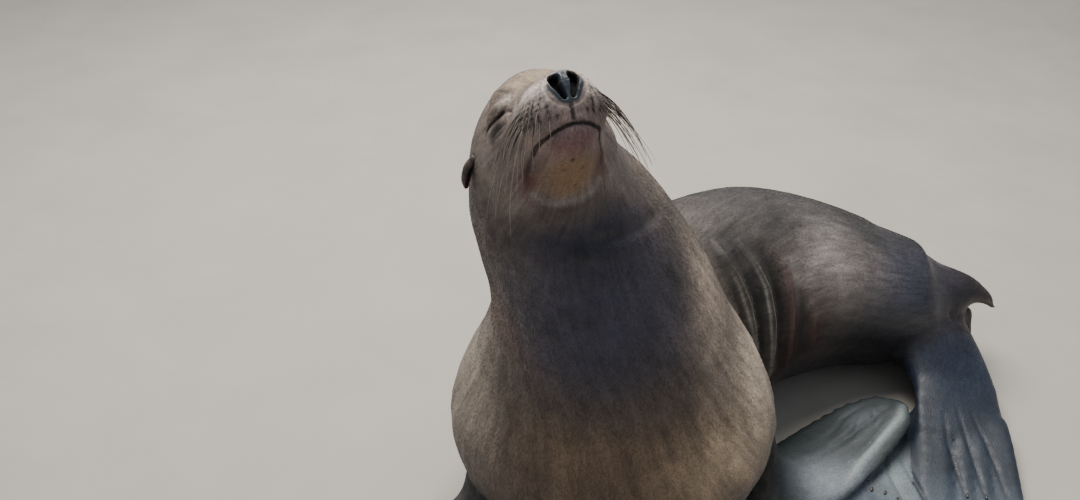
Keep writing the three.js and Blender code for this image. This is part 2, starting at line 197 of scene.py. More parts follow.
# %% Nearest piece
class Pieces:
    """Finds the solid that each point is nearest to."""

    def __init__(self, names):
        self.names = names
        corners, faces, self.owner = [], [], []
        for number, name in enumerate(names):
            mesh = nodes[name].data
            first = len(corners)
            corners += [vertex.co for vertex in mesh.vertices]
            faces += [[first + i for i in face.vertices] for face in mesh.polygons]
            self.owner += [number] * len(mesh.polygons)
        self.tree = BVHTree.FromPolygons(corners, faces)

    def nearest(self, points):
        return np.array([self.owner[self.tree.find_nearest(p)[2]] for p in points.tolist()])

    def depth(self, points):
        """How far inside the solids' surface each point lies."""
        found = [self.tree.find_nearest(p) for p in points.tolist()]
        places = np.array([place for place, _, _, _ in found])
        facing = np.array([normal for _, normal, _, _ in found])
        return ((places - points) * facing).sum(1)

    def value(self, owners, values, usual):
        """One number for each point, by its piece."""
        table = np.array([values.get(name, usual) for name in self.names], float)
        return table[owners]


def spread(values, edges, rounds, share=0.5):
    """Moves each value towards its neighbours' mean, over and over."""
    first, second = edges.T
    columns = values.reshape(len(values), -1)
    total = len(columns)
    count = np.bincount(first, minlength=total) + np.bincount(second, minlength=total)
    share = np.broadcast_to(share, total)[:, None]
    for _ in range(rounds):
        mean = np.stack([
            np.bincount(first, columns[second, k], total) + np.bincount(second, columns[first, k], total)
            for k in range(columns.shape[1])], 1) / count[:, None]
        columns = columns + share * (mean - columns)
    return columns.reshape(values.shape)


pieces = Pieces(FLESH)
owners = pieces.nearest(points_of(skin_mesh))
print("points by piece:", {name: int((owners == i).sum()) for i, name in enumerate(FLESH)})

# %% [markdown]
# ## Smooth away the facets, keep the features
# The solids have facets some 40 mm long on the trunk but only 12 mm on the head. Spreading each point's
# place towards its neighbours melts facets that are smaller than the number of rounds can reach, and it
# would melt the muzzle too. So each piece gets its own strength: full on the trunk, little on the head and
# on the thin flippers, and more again on the throat. A thing that is spread also shrinks, most at a tip, so
# each point is then moved back out until it lies under the solids' surface by the depth of the coat. That
# move is spread as well, so it gives back the size without the facets.

# %% Smooth, then shrink to the depth of the coat
SMOOTHING = {"head": 0.16, "lower_jaw": 0.14, "nose": 0.1, "fore_flipper_left": 0.1,
             "fore_flipper_right": 0.1, "hind_flipper_left": 0.16, "hind_flipper_right": 0.1, "tail": 0.3,
             "forearm_left": 0.5, "forearm_right": 0.5, "hind_leg_left": 0.7, "hind_leg_right": 0.4}
THROAT_SMOOTHING = 0.75
FLIPPERS = ("fore_flipper_left", "fore_flipper_right", "hind_flipper_left", "hind_flipper_right")
COAT_DEPTH = {"head": 0.7, "lower_jaw": 0.6, "nose": 0, "neck": 1.2, **dict.fromkeys(FLIPPERS, 0.2)}  # mm
USUAL_DEPTH = 1.4
ROUNDS = 90
CORRECTIONS, CORRECTION_ROUNDS = 3, 20
FARTHEST = 9 * MM  # that a correction may move a point
HEAD_PLACE = np.array(Vector((-246.70, -237.64, 697)) * MM)
HEAD_TURN = np.array(Matrix.Rotation(math.radians(14), 3, "Z") @ Matrix.Rotation(math.radians(-52.5), 3, "X")
                     @ Matrix.Rotation(math.radians(-6), 3, "Y"))


def in_head(points):
    """Millimetres in the head's own frame: x to its left, y back from the nose, z up through the crown."""
    return (points - HEAD_PLACE) @ HEAD_TURN / MM


def ramp(values, low, high):
    """0 below low, 1 above high, and an even curve between."""
    share = np.clip((values - low) / (high - low), 0, 1)
    return share * share * (3 - 2 * share)


points = points_of(skin_mesh)
edges = edges_of(skin_mesh)
strength = pieces.value(owners, SMOOTHING, 1)
throat = ramp(in_head(points)[:, 1], -85, -45) * (strength < 0.3) * (points[:, 2] > 0.55)
strength = spread(strength + (THROAT_SMOOTHING - strength) * throat, edges, 12)
points = spread(points, edges, ROUNDS, 0.5 * strength)
set_points(skin_mesh, points)
wanted = pieces.value(owners, COAT_DEPTH, USUAL_DEPTH) * MM
for _ in range(CORRECTIONS):
    lack = np.clip(pieces.depth(points) - wanted, -FARTHEST, FARTHEST)
    lack = spread(lack, edges, CORRECTION_ROUNDS)
    points = points + normals_of(skin_mesh) * lack[:, None]
    set_points(skin_mesh, points)
    print("moved out by", round(lack.min() / MM, 2), "to", round(lack.max() / MM, 2), "mm")
print("smoothed:", len(points), "points, lowest at", round(points[:, 2].min() / MM, 2), "mm")

# %% [markdown]
# A few places still show where two solids met: the root of the tail, its tip, the hip, the edge where the
# leg opens into the foot, and the wrists. Each gets some more rounds of its own.

# %% Ease the joints
EASED = [  # place in mm, reach in mm, rounds
    ((485, 245, 150), 110, 24), ((545, 236, 145), 50, 50), ((512, 200, 165), 45, 40),
    ((495, 178, 205), 40, 40), ((618, 206, 140), 16, 14), ((574, 20, 52), 42, 40), ((500, 90, 80), 55, 30),
    ((127, -145, 62), 45, 30), ((-335, -236, 62), 45, 30)]


def ease(places_eased):
    points, edges = points_of(skin_mesh), edges_of(skin_mesh)
    for place, reach, rounds in places_eased:
        near = np.exp(-((points / MM - np.array(place)) ** 2).sum(1) / reach ** 2)
        points = spread(points, edges, rounds, 0.5 * near)
    set_points(skin_mesh, points)


ease(EASED)

# %% [markdown]
# ## More points where the detail is
# Five millimetres between points is enough for a flank, but an eyelid needs about one. Cutting the whole
# skin finer would cost two million points, so only the head, the flippers and the folds of the flank are
# cut, and the muzzle and the eyes once more. It stays one mesh, so no seam appears.

# %% Cut the skin finer
def cut_finer(mesh, chosen):
    """Divides the faces whose corners are chosen."""
    work = bmesh.new()
    work.from_mesh(mesh)
    work.verts.ensure_lookup_table()
    edges_to_cut = [e for e in work.edges if chosen[e.verts[0].index] and chosen[e.verts[1].index]]
    bmesh.ops.subdivide_edges(work, edges=edges_to_cut, cuts=1, use_grid_fill=True)
    work.to_mesh(mesh)
    work.free()
    mesh.update()


HEAD_PIECES = {"head": 1, "lower_jaw": 1, "nose": 1}
BEHIND_THE_EYES = -58  # mm back in the head's frame
FOLDED = np.array([[-10, -90, 100], [260, 125, 420]]) * MM  # two corners of a box round the folds

cut_finer(skin_mesh, pieces.value(owners, {**dict.fromkeys(FLIPPERS, 1), **HEAD_PIECES}, 0) > 0)
cut_finer(skin_mesh, in_head(points_of(skin_mesh))[:, 1] < BEHIND_THE_EYES)
points = points_of(skin_mesh)
cut_finer(skin_mesh, ((points > FOLDED[0]) & (points < FOLDED[1])).all(1))
points = points_of(skin_mesh)
edges = edges_of(skin_mesh)
owners = pieces.nearest(points)
headness = spread(pieces.value(owners, HEAD_PIECES, 0), edges, 6)
points = spread(points, edges, 6, 0.5 * headness)
set_points(skin_mesh, points)
print("finer skin:", len(points), "points,", len(skin_mesh.polygons), "faces")

# %% [markdown]
# ## Carve the face
# A face is carved with strokes, as with a loop tool on clay. A stroke is a line of a few points, a width
# and a push: outwards it raises a lip or a lid, inwards it cuts a crease. Each point of the skin measures
# how far it is from the line and moves along its normal by the push, which fades with that distance. The
# strokes are set in the head's own frame, in millimetres, for the left side, and mirrored to the right.

# %% Strokes
DEEPEST = 14  # a stroke doesn't reach a surface that lies further than this above or below it, in mm


def drawn(push, width, line, taper=0.2):
    """A stroke: its push and width in mm, its line, and the share of it that fades at each end."""
    return {"push": push, "width": width, "line": line, "taper": taper}


def nearest_on_line(points, line):
    """For each point: the nearest place on a line of points, and how far along the line it is, 0 to 1."""
    line = np.array(line, float)
    lengths = np.linalg.norm(np.diff(line, axis=0), axis=1)
    starts = np.concatenate([[0], np.cumsum(lengths)])
    best = np.full(len(points), 1e9)
    place = np.zeros_like(points)
    along = np.zeros(len(points))
    for start, end, length, before in zip(line, line[1:], lengths, starts):
        share = np.clip((points - start) @ (end - start) / length ** 2, 0, 1)
        spot = start + share[:, None] * (end - start)
        gap = np.linalg.norm(points - spot, axis=1)
        nearer = gap < best
        best = np.where(nearer, gap, best)
        place[nearer] = spot[nearer]
        along = np.where(nearer, (before + share * length) / starts[-1], along)
    return place, along


def stroke(places, facing, line, width, taper=0.2):
    """1 on the stroke's line, fading with the distance along the surface, and towards its two ends."""
    near, along = nearest_on_line(places, line)
    gap = places - near
    above = (gap * facing).sum(1)
    beside = (gap ** 2).sum(1) - above ** 2
    ends = np.clip(np.minimum(along, 1 - along) / taper, 0, 1) ** 0.5 if taper else 1
    return ends * np.exp(-beside / width ** 2) * (np.abs(above) < DEEPEST)


def strokes_push(places, facing, strokes, mirrored):
    """How far each place moves, in millimetres, under all the strokes."""
    push = np.zeros(len(places))
    for one in strokes:
        for side in (1, -1) if mirrored else (1,):
            line = np.array(one["line"], float) * (side, 1, 1)
            push += one["push"] * stroke(places, facing, line, one["width"], one["taper"])
    return push


def facing_in_head(normals):
    return normals @ HEAD_TURN


def carve_head(strokes):
    points, normals = points_of(skin_mesh), normals_of(skin_mesh)
    push = strokes_push(in_head(points), facing_in_head(normals), strokes, mirrored=True)
    set_points(skin_mesh, points + normals * push[:, None] * MM)
    print("carved", len(strokes), "strokes on each side, from", round(push.min(), 1), "to",
          round(push.max(), 1), "mm")


# %% [markdown]
# The broad forms come first: the two whisker pads beside the nose, the chin, the swollen lids of an eye
# that is squeezed nearly shut, the brow over it and the cheek that pushes up from below.

# %% Broad forms of the face
FORMS = [
    drawn(2.6, 13, [(30, -172, -16), (37, -150, -16)], 0),
    drawn(1.6, 12, [(12, -168, -58), (16, -140, -64)], 0),
    drawn(2.2, 7, [(44, -112, 34), (56, -92, 38), (64, -66, 36)]),
    drawn(2.2, 6, [(44, -108, 15), (56, -90, 15), (64, -68, 16)]),
    drawn(-2.4, 8, [(42, -122, 20), (34, -148, 18)]),
    drawn(2.4, 9, [(30, -116, 44), (40, -96, 54), (50, -70, 58)]),
    drawn(3, 16, [(56, -84, -10), (66, -60, -14)], 0),
]
carve_head(FORMS)

# %% [markdown]
# Then the lines: the slit between the lids with a small furrow at each corner, the wrinkles above and below
# it, the mouth with a lip above and below, the groove from the nose to the mouth, and the rim of the nose
# with the groove down its middle.

# %% Lines of the face
SLIT = [(47, -103, 26), (53, -95, 25), (57, -83, 25), (62, -71, 25), (65, -63, 24)]
MOUTH = [(0, -177, -38), (10, -175, -38), (20, -169, -39), (31, -155, -40), (36, -137, -39), (39, -124, -41)]
CORNER = [(38, -130, -40), (41, -112, -44), (44, -95, -50), (46, -78, -57)]
NOSTRIL = [(10.5, -196, 9), (10.5, -196, 3), (8, -194, -4), (4.8, -192, -12)]
NOSE_RIM = [(0, -190, 21), (15, -188, 17), (23, -187, 5), (21, -187, -9), (12, -187, -19), (0, -187, -23)]
LINES = [
    drawn(-5, 1.6, SLIT),
    drawn(-2, 2, [(46, -105, 24), (40, -116, 17)], 0.5),
    drawn(-0.9, 1.8, [(47, -104, 11), (56, -88, 9), (61, -74, 8)]),
    drawn(-0.6, 1.8, [(50, -98, 4), (58, -84, 1)]),
    drawn(-1, 2.4, [(50, -104, 42), (60, -84, 46), (66, -64, 44)]),
    drawn(-1.2, 2.4, [(66, -70, 28), (74, -54, 30)], 0.6),
    drawn(-3.2, 1.4, MOUTH, 0.1),
    drawn(-2.2, 2.6, CORNER, 0.5),
    drawn(1.6, 7, [(46, -106, -38), (52, -84, -46)], 0.5),
    drawn(1.2, 4, [(0, -180, -32), (18, -172, -32), (32, -155, -33), (40, -138, -33), (44, -122, -36)], 0.1),
    drawn(0.9, 4, [(0, -172, -45), (16, -166, -46), (28, -152, -46), (35, -138, -46)]),
    drawn(-1.3, 1.5, [(0, -188, -20), (0, -183, -28), (0, -179, -36)], 0.05),
    drawn(-0.7, 1.1, [(0, -192, 16), (0, -194, 4), (0, -192, -18)], 0.1),
    drawn(-0.9, 1.6, NOSE_RIM, 0.02),
]
carve_head(LINES)

# %% [markdown]
# A nostril is a deep opening, not a dark spot, so that it stays dark from every side and in any light. The
# skin inside two drawn drops, wide above and narrow below, is sunk straight back into the snout. Cutting a
# hole would leave open edges, and sinking keeps the skin one closed surface.

# %% Open the nostrils
NOSTRIL_DEPTH = 14
TOP_HALF_WIDTH, LOW_HALF_WIDTH, RIM = 5.6, 2.2, 2.2
FRONT_OF_NOSE = -170  # in the head's frame, and in mm like the rest
FLAT = np.array([1, 0, 1])  # the opening is drawn as seen from the front of the nose


def nostril_share(places):
    """1 inside the two openings, 0 outside them, with a soft rim."""
    share = np.zeros(len(places))
    for side in (1, -1):
        line = np.array(NOSTRIL) * FLAT * (side, 1, 1)
        near, along = nearest_on_line(places * FLAT, line)
        gap = np.linalg.norm(places * FLAT - near, axis=1)
        wide = TOP_HALF_WIDTH + (LOW_HALF_WIDTH - TOP_HALF_WIDTH) * along
        share = np.maximum(share, ramp(wide + RIM / 2 - gap, 0, RIM) * (places[:, 1] < FRONT_OF_NOSE))
    return share


pit = nostril_share(in_head(points_of(skin_mesh)))
inward = HEAD_TURN @ np.array([0, 1, 0])
points = points_of(skin_mesh) + pit[:, None] * inward * NOSTRIL_DEPTH * MM
set_points(skin_mesh, points)
print("nostrils:", int((pit > 0.5).sum()), "points sunk")

# %% [markdown]
# ## Folds of the flank and furrows of the hind feet
# The trunk bends sharply behind the shoulder, and its loose hide gathers in upright folds on the inside
# of the bend. Between the long toes of the hind feet the web sinks into grooves. The raised head folds the
# throat into soft creases, there is a hollow under the tail, and fingers show through the left fore
# flipper. All are strokes again, this time in millimetres of the whole frame.

# %% Folds and furrows
ROLLS = [  # the crests of the folds
    drawn(8.5, 7, [(36, 53, 396), (57, 17, 376), (77, -9, 345), (92, -29, 307), (104, -43, 262),
          (112, -40, 215)], 0.45),
    drawn(10, 7.5, [(81, 70, 386), (104, 41, 360), (126, 21, 324), (136, 1, 284), (143, -12, 236),
          (147, -14, 184), (150, 0, 140)], 0.45),
    drawn(6.5, 8.5, [(150, 100, 340), (168, 66, 318), (177, 40, 289), (183, 27, 247), (186, 19, 200),
          (187, 30, 140)], 0.4),
    drawn(3.5, 11, [(222, 60, 262), (232, 52, 215), (238, 60, 160)], 0.4),
]
VALLEYS = [  # the hollows beside them
    drawn(-8.5, 7.5, [(38, 22, 378), (57, -10, 348), (74, -34, 305), (88, -56, 262), (98, -56, 215)], 0.45),
    drawn(-9.5, 7.5, [(70, 42, 380), (91, 14, 352), (110, -6, 312), (121, -24, 268), (126, -30, 215),
          (130, -14, 160)], 0.45),
    drawn(-8, 8.5, [(120, 74, 360), (146, 40, 322), (158, 22, 282), (164, 8, 235), (167, 6, 190),
          (170, 20, 138)], 0.35),
    drawn(-4, 8, [(196, 62, 290), (206, 46, 250), (212, 40, 205), (214, 48, 150)], 0.4),
]
FURROWS = [  # between the toes of the hind feet
    drawn(-2.2, 4, [(480, 10, 52), (474, -40, 42), (471, -90, 31), (469, -130, 24), (468, -175, 16)], 0.5),
    drawn(-2.2, 4, [(506, 20, 54), (506, -40, 40), (504, -95, 29), (500, -165, 18)], 0.5),
    drawn(-2, 4, [(530, 10, 52), (537, -50, 38), (537, -110, 31), (534, -165, 20)], 0.5),
    drawn(-3, 4.5, [(350, -60, 24), (358, -95, 15), (363, -138, 13), (372, -190, 10)]),
    drawn(-3, 4.5, [(386, -55, 24), (392, -95, 16), (398, -140, 13), (404, -195, 10)]),
]
CREASES = [  # the hollow under the tail, and where the raised head folds the throat
    drawn(-6, 12, [(534, 166, 152), (552, 174, 138)], 0),
    drawn(4, 16, [(505, 248, 218), (532, 248, 205), (560, 243, 197), (590, 234, 189)], 0.5),
    drawn(-5, 10, [(-262, -330, 668), (-240, -340, 658), (-205, -338, 648), (-172, -326, 640),
          (-125, -284, 632), (-92, -235, 626)], 0.35),
    drawn(2.5, 12, [(-240, -352, 684), (-200, -352, 676), (-160, -338, 668), (-118, -294, 660)], 0.4),
    drawn(-2.5, 9, [(-235, -338, 622), (-190, -342, 612), (-150, -322, 606)], 0.5),
]
MARGIN = [(412, 22, 58), (394, -15, 60), (348, -58, 50), (302, -104, 37), (258, -162, 28)]
BLADE_FORMS = [  # the fore flipper's thick front margin, its fingers, and the slack web between them
    drawn(2.2, 8, MARGIN),
    drawn(1.6, 9, [(150, -140, 62), (235, -100, 42), (330, -40, 50), (392, 10, 58)], 0.3),
    drawn(1.5, 9, [(160, -110, 60), (245, -70, 40), (330, -5, 52), (380, 25, 58)], 0.3),
    drawn(-1.8, 6, [(235, -82, 42), (330, -22, 52), (385, 18, 58)], 0.4),
    drawn(-1.8, 6, [(250, -125, 38), (330, -62, 50), (385, -6, 60)], 0.4),
    drawn(-1.4, 5, [(262, -40, 40), (300, 0, 46), (350, 30, 54)], 0.4),
    drawn(-1.2, 5, [(300, -50, 46), (318, -20, 50), (322, 5, 50)], 0.5),
    drawn(-1.2, 5, [(340, -34, 52), (352, -8, 55), (352, 16, 55)], 0.5),
]
EDGES = [{**one, "push": 1.3, "width": 3.2} for one in ROLLS[:2]]  # they sharpen the two great folds
EDGE_BAND = 13  # mm on each side of them are cut finer first
ALL_FOLDS = ROLLS + EDGES + VALLEYS + FURROWS + CREASES + BLADE_FORMS

points, normals = points_of(skin_mesh), normals_of(skin_mesh)
cut_finer(skin_mesh, sum(stroke(points / MM, normals, one["line"], EDGE_BAND, 0) for one in EDGES) > 0.3)
points, normals = points_of(skin_mesh), normals_of(skin_mesh)
push = strokes_push(points / MM, normals, ALL_FOLDS, mirrored=False)
set_points(skin_mesh, points + normals * push[:, None] * MM)
print("folds and furrows, from", round(push.min(), 1), "to", round(push.max(), 1), "mm")

# %% [markdown]
# The animal's weight presses its belly and its flippers flat. Smoothing has lifted their lowest points a
# little, so those are laid back on the floor.

# %% Rest on the floor
FLOOR_REACH, CLEAR_OF_FLOOR = 2.6 * MM, 0.3 * MM
points = points_of(skin_mesh)
points[:, 2] = np.where(points[:, 2] < FLOOR_REACH, CLEAR_OF_FLOOR, points[:, 2])
set_points(skin_mesh, points)
print("lowest point:", round(points[:, 2].min() / MM, 2), "mm")

# %% [markdown]
# ## Which way the hair lies
# Short hair lies from the nose to the tail, and down each limb to its tip. Each limb and the spine get a
# *bone*: a line of points. A point of the skin takes the direction of the bone beside it, and these
# directions are spread over the neighbours so that they turn smoothly where a limb joins the body. The
# same bones unroll the skin: how far along the bone and how far round it is a place on a flat sheet.

# %% Bones and the lie of the hair
MIDDLE = np.array([134.7, 130.64, 0])  # from the breast, where the bones are measured, to the origin
BONES = {
    "fore_left": [(180, 30, 250), (232, -6, 112), (262, -14, 58), (322, 12, 23), (398, 62, 24),
                  (470, 110, 42), (550, 158, 56)],
    "fore_right": [(-140, 0, 250), (-182, -66, 112), (-200, -106, 58), (-258, -148, 26), (-338, -184, 16),
                   (-416, -214, 13), (-498, -245, 10)],
    "hind_left": [(580, 372, 136), (644, 280, 82), (659, 205, 54), (650, 140, 40), (630, 40, 25),
                  (590, -90, 5)],
    "hind_right": [(700, 398, 92), (672, 260, 38), (640, 185, 20), (584, 115, 12), (448, -70, 4)],
    "spine": [(-78, -222, 848), (-96, -160, 770), (-106, -106, 694), (-74, -72, 602), (-48, -60, 540),
              (-24, -46, 460), (-8, -34, 376), (6, -10, 300), (40, 50, 245), (95, 140, 220), (165, 232, 206),
              (250, 310, 190), (350, 360, 172), (440, 380, 156), (520, 378, 142), (580, 375, 138),
              (668, 373, 142), (724, 362, 162), (768, 342, 128)],
}
BONE_OF = {f"{part}_{side}": f"{limb}_{side}" for side in ("left", "right") for part, limb in (
    ("forearm", "fore"), ("fore_flipper", "fore"), ("hind_leg", "hind"), ("hind_flipper", "hind"))}
SEAM_AWAY = np.array([0.2, 0.35, 1.0])  # the sheet is slit on the side of the bone that faces this way


def beside_bone(points, bone):
    """The bone's direction at each point, and its place on the unrolled sheet: along and round, 0 to 1."""
    line = np.array(bone) - MIDDLE
    joints = unit(np.gradient(line, axis=0))
    near, along = nearest_on_line(points / MM, line)
    lengths = np.concatenate([[0], np.cumsum(np.linalg.norm(np.diff(line, axis=0), axis=1))])
    lengths = lengths / lengths[-1]
    way = unit(np.stack([np.interp(along, lengths, joints[:, k]) for k in range(3)], 1))
    outward = points / MM - near
    up = unit(SEAM_AWAY - way * (way @ SEAM_AWAY)[:, None])
    side = np.cross(up, way)
    turn = np.arctan2((outward * side).sum(1), -(outward * up).sum(1))
    return way, np.stack([turn / (2 * math.pi) + 0.5, along], 1)


points, normals, edges = points_of(skin_mesh), normals_of(skin_mesh), edges_of(skin_mesh)
owners = pieces.nearest(points)
lie = np.zeros_like(points)
sheet = np.zeros((len(points), 2))
bone_name = np.array([BONE_OF.get(name, "spine") for name in FLESH])[owners]
for name, bone in BONES.items():
    chosen = bone_name == name
    lie[chosen], sheet[chosen] = beside_bone(points[chosen], bone)
lie = spread(lie, edges, 30)
lie = unit(lie - normals * (lie * normals).sum(1)[:, None])
print("hair lies along", len(BONES), "bones")

# %% [markdown]
# ## Markings
# The hide isn't one brown: the throat is nearly black and damp, and painted shade darkens it further, the
# chin is bare enough to look tan, the breast is warm, the dry shoulders are pale and carry a painted rim
# light, the wet trunk shines with a painted sheen on its side, and the flippers are slate. A colour is
# painted on the points through a mask, a number from 0 to 1 that is worked out from where the point is.
# Each new colour is mixed over the last, as glazes are. The skin keeps the result as a *colour attribute*,
# and each hair will take the colour of its own root, so the skin and the coat always agree.

# %% Tools for painting
def linear(code):
    """A colour written as sRGB hex, as the numbers that light is reckoned with."""
    parts = np.array([int(code[i:i + 2], 16) for i in (0, 2, 4)]) / 255
    return np.where(parts <= 0.04045, parts / 12.92, ((parts + 0.055) / 1.055) ** 2.4)


def blot(places, middle, reach, hardness=2):
    """A soft round mask: 1 at its middle, fading out at its reach."""
    off = (places - np.array(middle)) / np.array(reach)
    return np.exp(-np.abs(off ** 2).sum(1) ** (hardness / 2))


SHORT_COAT, DRY_COAT = "574b45", 0.25  # the colour and the wetness that all begins with
HEADWISE = in_head(points)
HEADFACING = facing_in_head(normals)
HERE = points / MM
hue = np.tile(linear(SHORT_COAT), (len(points), 1))
gloss = np.full(len(points), DRY_COAT)


def here(middle, reach, hardness=2):
    return blot(HERE, middle, reach, hardness)


def on_face(middle, reach, hardness=2):
    return blot(HEADWISE, middle, reach, hardness)


def paint(code, mask):
    """Mixes a colour over the last ones."""
    global hue
    hue = hue + np.clip(mask, 0, 1)[:, None] * (linear(code) - hue)


def wet(amount, mask):
    """Mixes a wetness, 0 to 1, over the last ones."""
    global gloss
    gloss = gloss + np.clip(mask, 0, 1) * (amount - gloss)


def of_pieces(names, rounds=25):
    """A mask that is 1 on some of the pieces and fades across their edges."""
    return spread(pieces.value(owners, {name: 1 for name in names}, 0), edges, rounds)


# %% [markdown]
# The large regions come first, as a painter blocks them in: a wet trunk painted darker where it faces up,
# with a painted sheen on its side and a painted highlight above it; painted shade, nearly black, below it and
# round the root of the tail; blue-grey legs; a dark, damp throat darkened further by painted shade, a warm
# breast and dry, pale shoulders with a painted rim light. The crests of the folds are thin wet lines with
# painted highlights, and the valleys between them and the bend round them hold painted shade.

# %% Paint the body
def world_stroke(one, grow=1.0):
    return stroke(HERE, normals, one["line"], one["width"] * grow, one["taper"])


def all_strokes(strokes, grow=1.0):
    return np.clip(sum(world_stroke(one, grow) for one in strokes), 0, 1)


along = sheet[:, 1]
is_fore, is_hind = np.char.startswith(bone_name, "fore"), np.char.startswith(bone_name, "hind")
bare = spread(is_fore * ramp(along, 0.26, 0.42) + is_hind * ramp(along, 0.36, 0.62), edges, 8)
head_mask = of_pieces(["head", "lower_jaw", "nose"], 30) * (1 - ramp(HEADWISE[:, 1], -70, 25))
trunk = of_pieces(["flank", "rump", "tail"], 60)
legs = spread(is_hind * ramp(along, 0.02, 0.3), edges, 50)
forearms = of_pieces(["forearm_left", "forearm_right"], 20)
front = ramp(-normals[:, 1], -0.1, 0.6)
below = ramp(-normals[:, 2], 0.0, 0.7)
above = ramp(normals[:, 2], 0.1, 0.8)

# Painted light: the trunk is painted darker where it faces up, and paler on the band of its side that half
# faces up, as a painted wet sheen.
sheen_band = ramp(normals[:, 2], 0.0, 0.35) * (1 - ramp(normals[:, 2], 0.55, 0.9))
paint("393534", trunk * above)
paint("6a615b", trunk * (1 - above) * (1 - below))
paint("a89c95", trunk * sheen_band * here((290, 190, 320), (230, 200, 110)))
wet(0.66, trunk)
# A painted highlight: a pale blot on the upper flank.
paint("a8a09d", here((275, 165, 338), (110, 60, 50)) * 0.35)
# Painted shade low on the flank: a dark reddish brown, whose red is the hide's own and whose darkness is
# painted shade, then a nearly black painted shade where the trunk comes near the floor.
paint("2b1411", here((215, 20, 200), (95, 90, 120), 3) * (1 - above))
paint("07080e", here((370, 100, 105), (150, 90, 110), 3) * (1 - above))
paint("3b3e4b", here((440, 170, 210), (110, 110, 70)))
paint("252d3d", legs)
# Painted shade round the root of the tail: dark greys that also cover a pale line where the joint catches the
# lamp, its top painted darker where it faces up, and nearly black in the hollow under it.
paint("37333a", here((540, 215, 190), (60, 60, 60), 3))
paint("362f2e", of_pieces(["tail"], 90) * above)
paint("2e2a33", here((535, 190, 165), (60, 50, 50), 3) * 0.8)
paint("373642", here((496, 175, 200), (34, 50, 50), 3) * 0.6)
paint("131118", here((542, 172, 148), (32, 30, 28)) * 0.95)
paint("5a4636", here((574, 176, 122), (14, 14, 14)))
wet(0.66, legs)
# Painted shade: the trunk is painted nearly black where it faces down.
paint("15151b", trunk * below)
# Painted shade in the bend where the folds lie: dark greys over it, darkest in the first valley beside the
# neck.
paint("4a4645", here((75, 120, 400), (120, 110, 60), 3) * 0.85)
paint("242321", here((92, 10, 310), (80, 84, 125), 4) * 0.95)
paint("2c2a28", here((62, 45, 378), (56, 50, 36), 3) * 0.7)
# Painted highlights on the crests of the two great folds, a mid grey band with a thin bright line; the lower
# folds' crests are the hide's own red, lightened as a painted highlight; the valleys are painted nearly black
# as shade.
low_flank = 1 - ramp(HERE[:, 2], 320, 385)
paint("56524d", all_strokes(ROLLS[:2], 0.9) * 0.75 * low_flank)
paint("9a958c", all_strokes(ROLLS[:2], 0.36) * 0.75 * low_flank)
paint("5c3d35", all_strokes(ROLLS[2:], 0.7) * 0.55)
paint("16130f", all_strokes(VALLEYS, 1.2) * 0.9 * (0.4 + 0.6 * low_flank))
wet(0.85, all_strokes(ROLLS, 0.5) * low_flank)
paint("6d4f44", here((-300, -250, 470), (60, 90, 60)) * 0.8)
# The front of the neck and the throat: damp dark hair, darkened further by painted shade where they face
# forward and down, with a band of painted shade in the crease under the chin.
paint("4f484a", here((-120, -290, 560), (150, 130, 120), 3) * front)
paint("3b394a", here((-185, -330, 535), (115, 130, 130), 3) * front)
paint("2b2936", here((-175, -330, 640), (95, 70, 34), 3) * front)
wet(0.5, here((-180, -330, 560), (130, 130, 140)) * front)
paint("6f5b49", here((-130, -360, 300), (200, 130, 95), 3) * front)
paint("bca588", here((0, -320, 290), (70, 90, 60)) * 0.85)
# The shoulders and the right edge of the neck: pale dry hair, made paler by a painted rim light where they
# catch the lamp from behind.
paint("988b7e", here((-350, -200, 330), (52, 130, 130)))
paint("d0bca6", here((66, -210, 350), (58, 105, 110)))
paint("bda997", here((-22, -215, 490), (34, 80, 190)))
paint("8c7d71", here((-100, -150, 620), (46, 80, 80)) * 0.7)
# Painted shade under the breast, where it faces down.
paint("2b211f", here((-140, -350, 170), (260, 120, 50)) * below)
# Painted shade: the forearms stand in the breast's shadow and are painted nearly black.
paint("020102", forearms)

# %% [markdown]
# Flippers have bare skin, like wet slate. It is paler on the front margin and over the tips of the toes,
# where it is thick and dry. Painted shade darkens the furrows and the grooves between the fingers, and a pale
# patch on the right hind foot is a painted sheen.

# %% Paint the flippers
paint("232c38", bare)
paint("444f5b", bare * is_hind * ramp(along, 0.75, 0.95))
blade = bare * is_fore
paint("293133", blade)
paint("646d74", blade * here((326, -10, 51), (34, 34, 30)) * 0.5)
paint("94a0a0", all_strokes([BLADE_FORMS[0]], 1.0) * 0.85)
# Painted shade in the furrows of the hind feet and in the grooves between the fingers of the fore flipper.
paint("252c35", all_strokes(FURROWS, 0.8) * bare * 0.8)
paint("363e44", all_strokes(BLADE_FORMS[3:], 0.7) * 0.7)
paint("8d959c", blade * here((250, -150, 35), (70, 60, 40)) * 0.9)
# A painted sheen: a pale patch along the right hind foot.
paint("727e82", here((370, -110, 15), (40, 70, 30)) * bare * (bone_name == "hind_right"))
wet(0.6, bare)
# Painted shade: the forearms stay nearly black down to where the flippers leave the breast's shadow.
wet(0.1, forearms * (1 - ramp(along, 0.2, 0.44)))
paint("020102", forearms * (1 - ramp(along, 0.24, 0.46)))

# %% [markdown]
# The face is dry and brown, with painted sheen and highlights on the top and the sides of the muzzle and over
# the
# brows, reddish lips, and a tan chin where the hair is thin. Then come the small darks that give it its look:
# painted shade in the slit of the eye, the trail of tears below it, painted shade in the line of the mouth,
# its corners and the groove under the nose, and the nose itself, bare, cool grey and moist, with a painted
# highlight down its middle and painted shade in its openings.

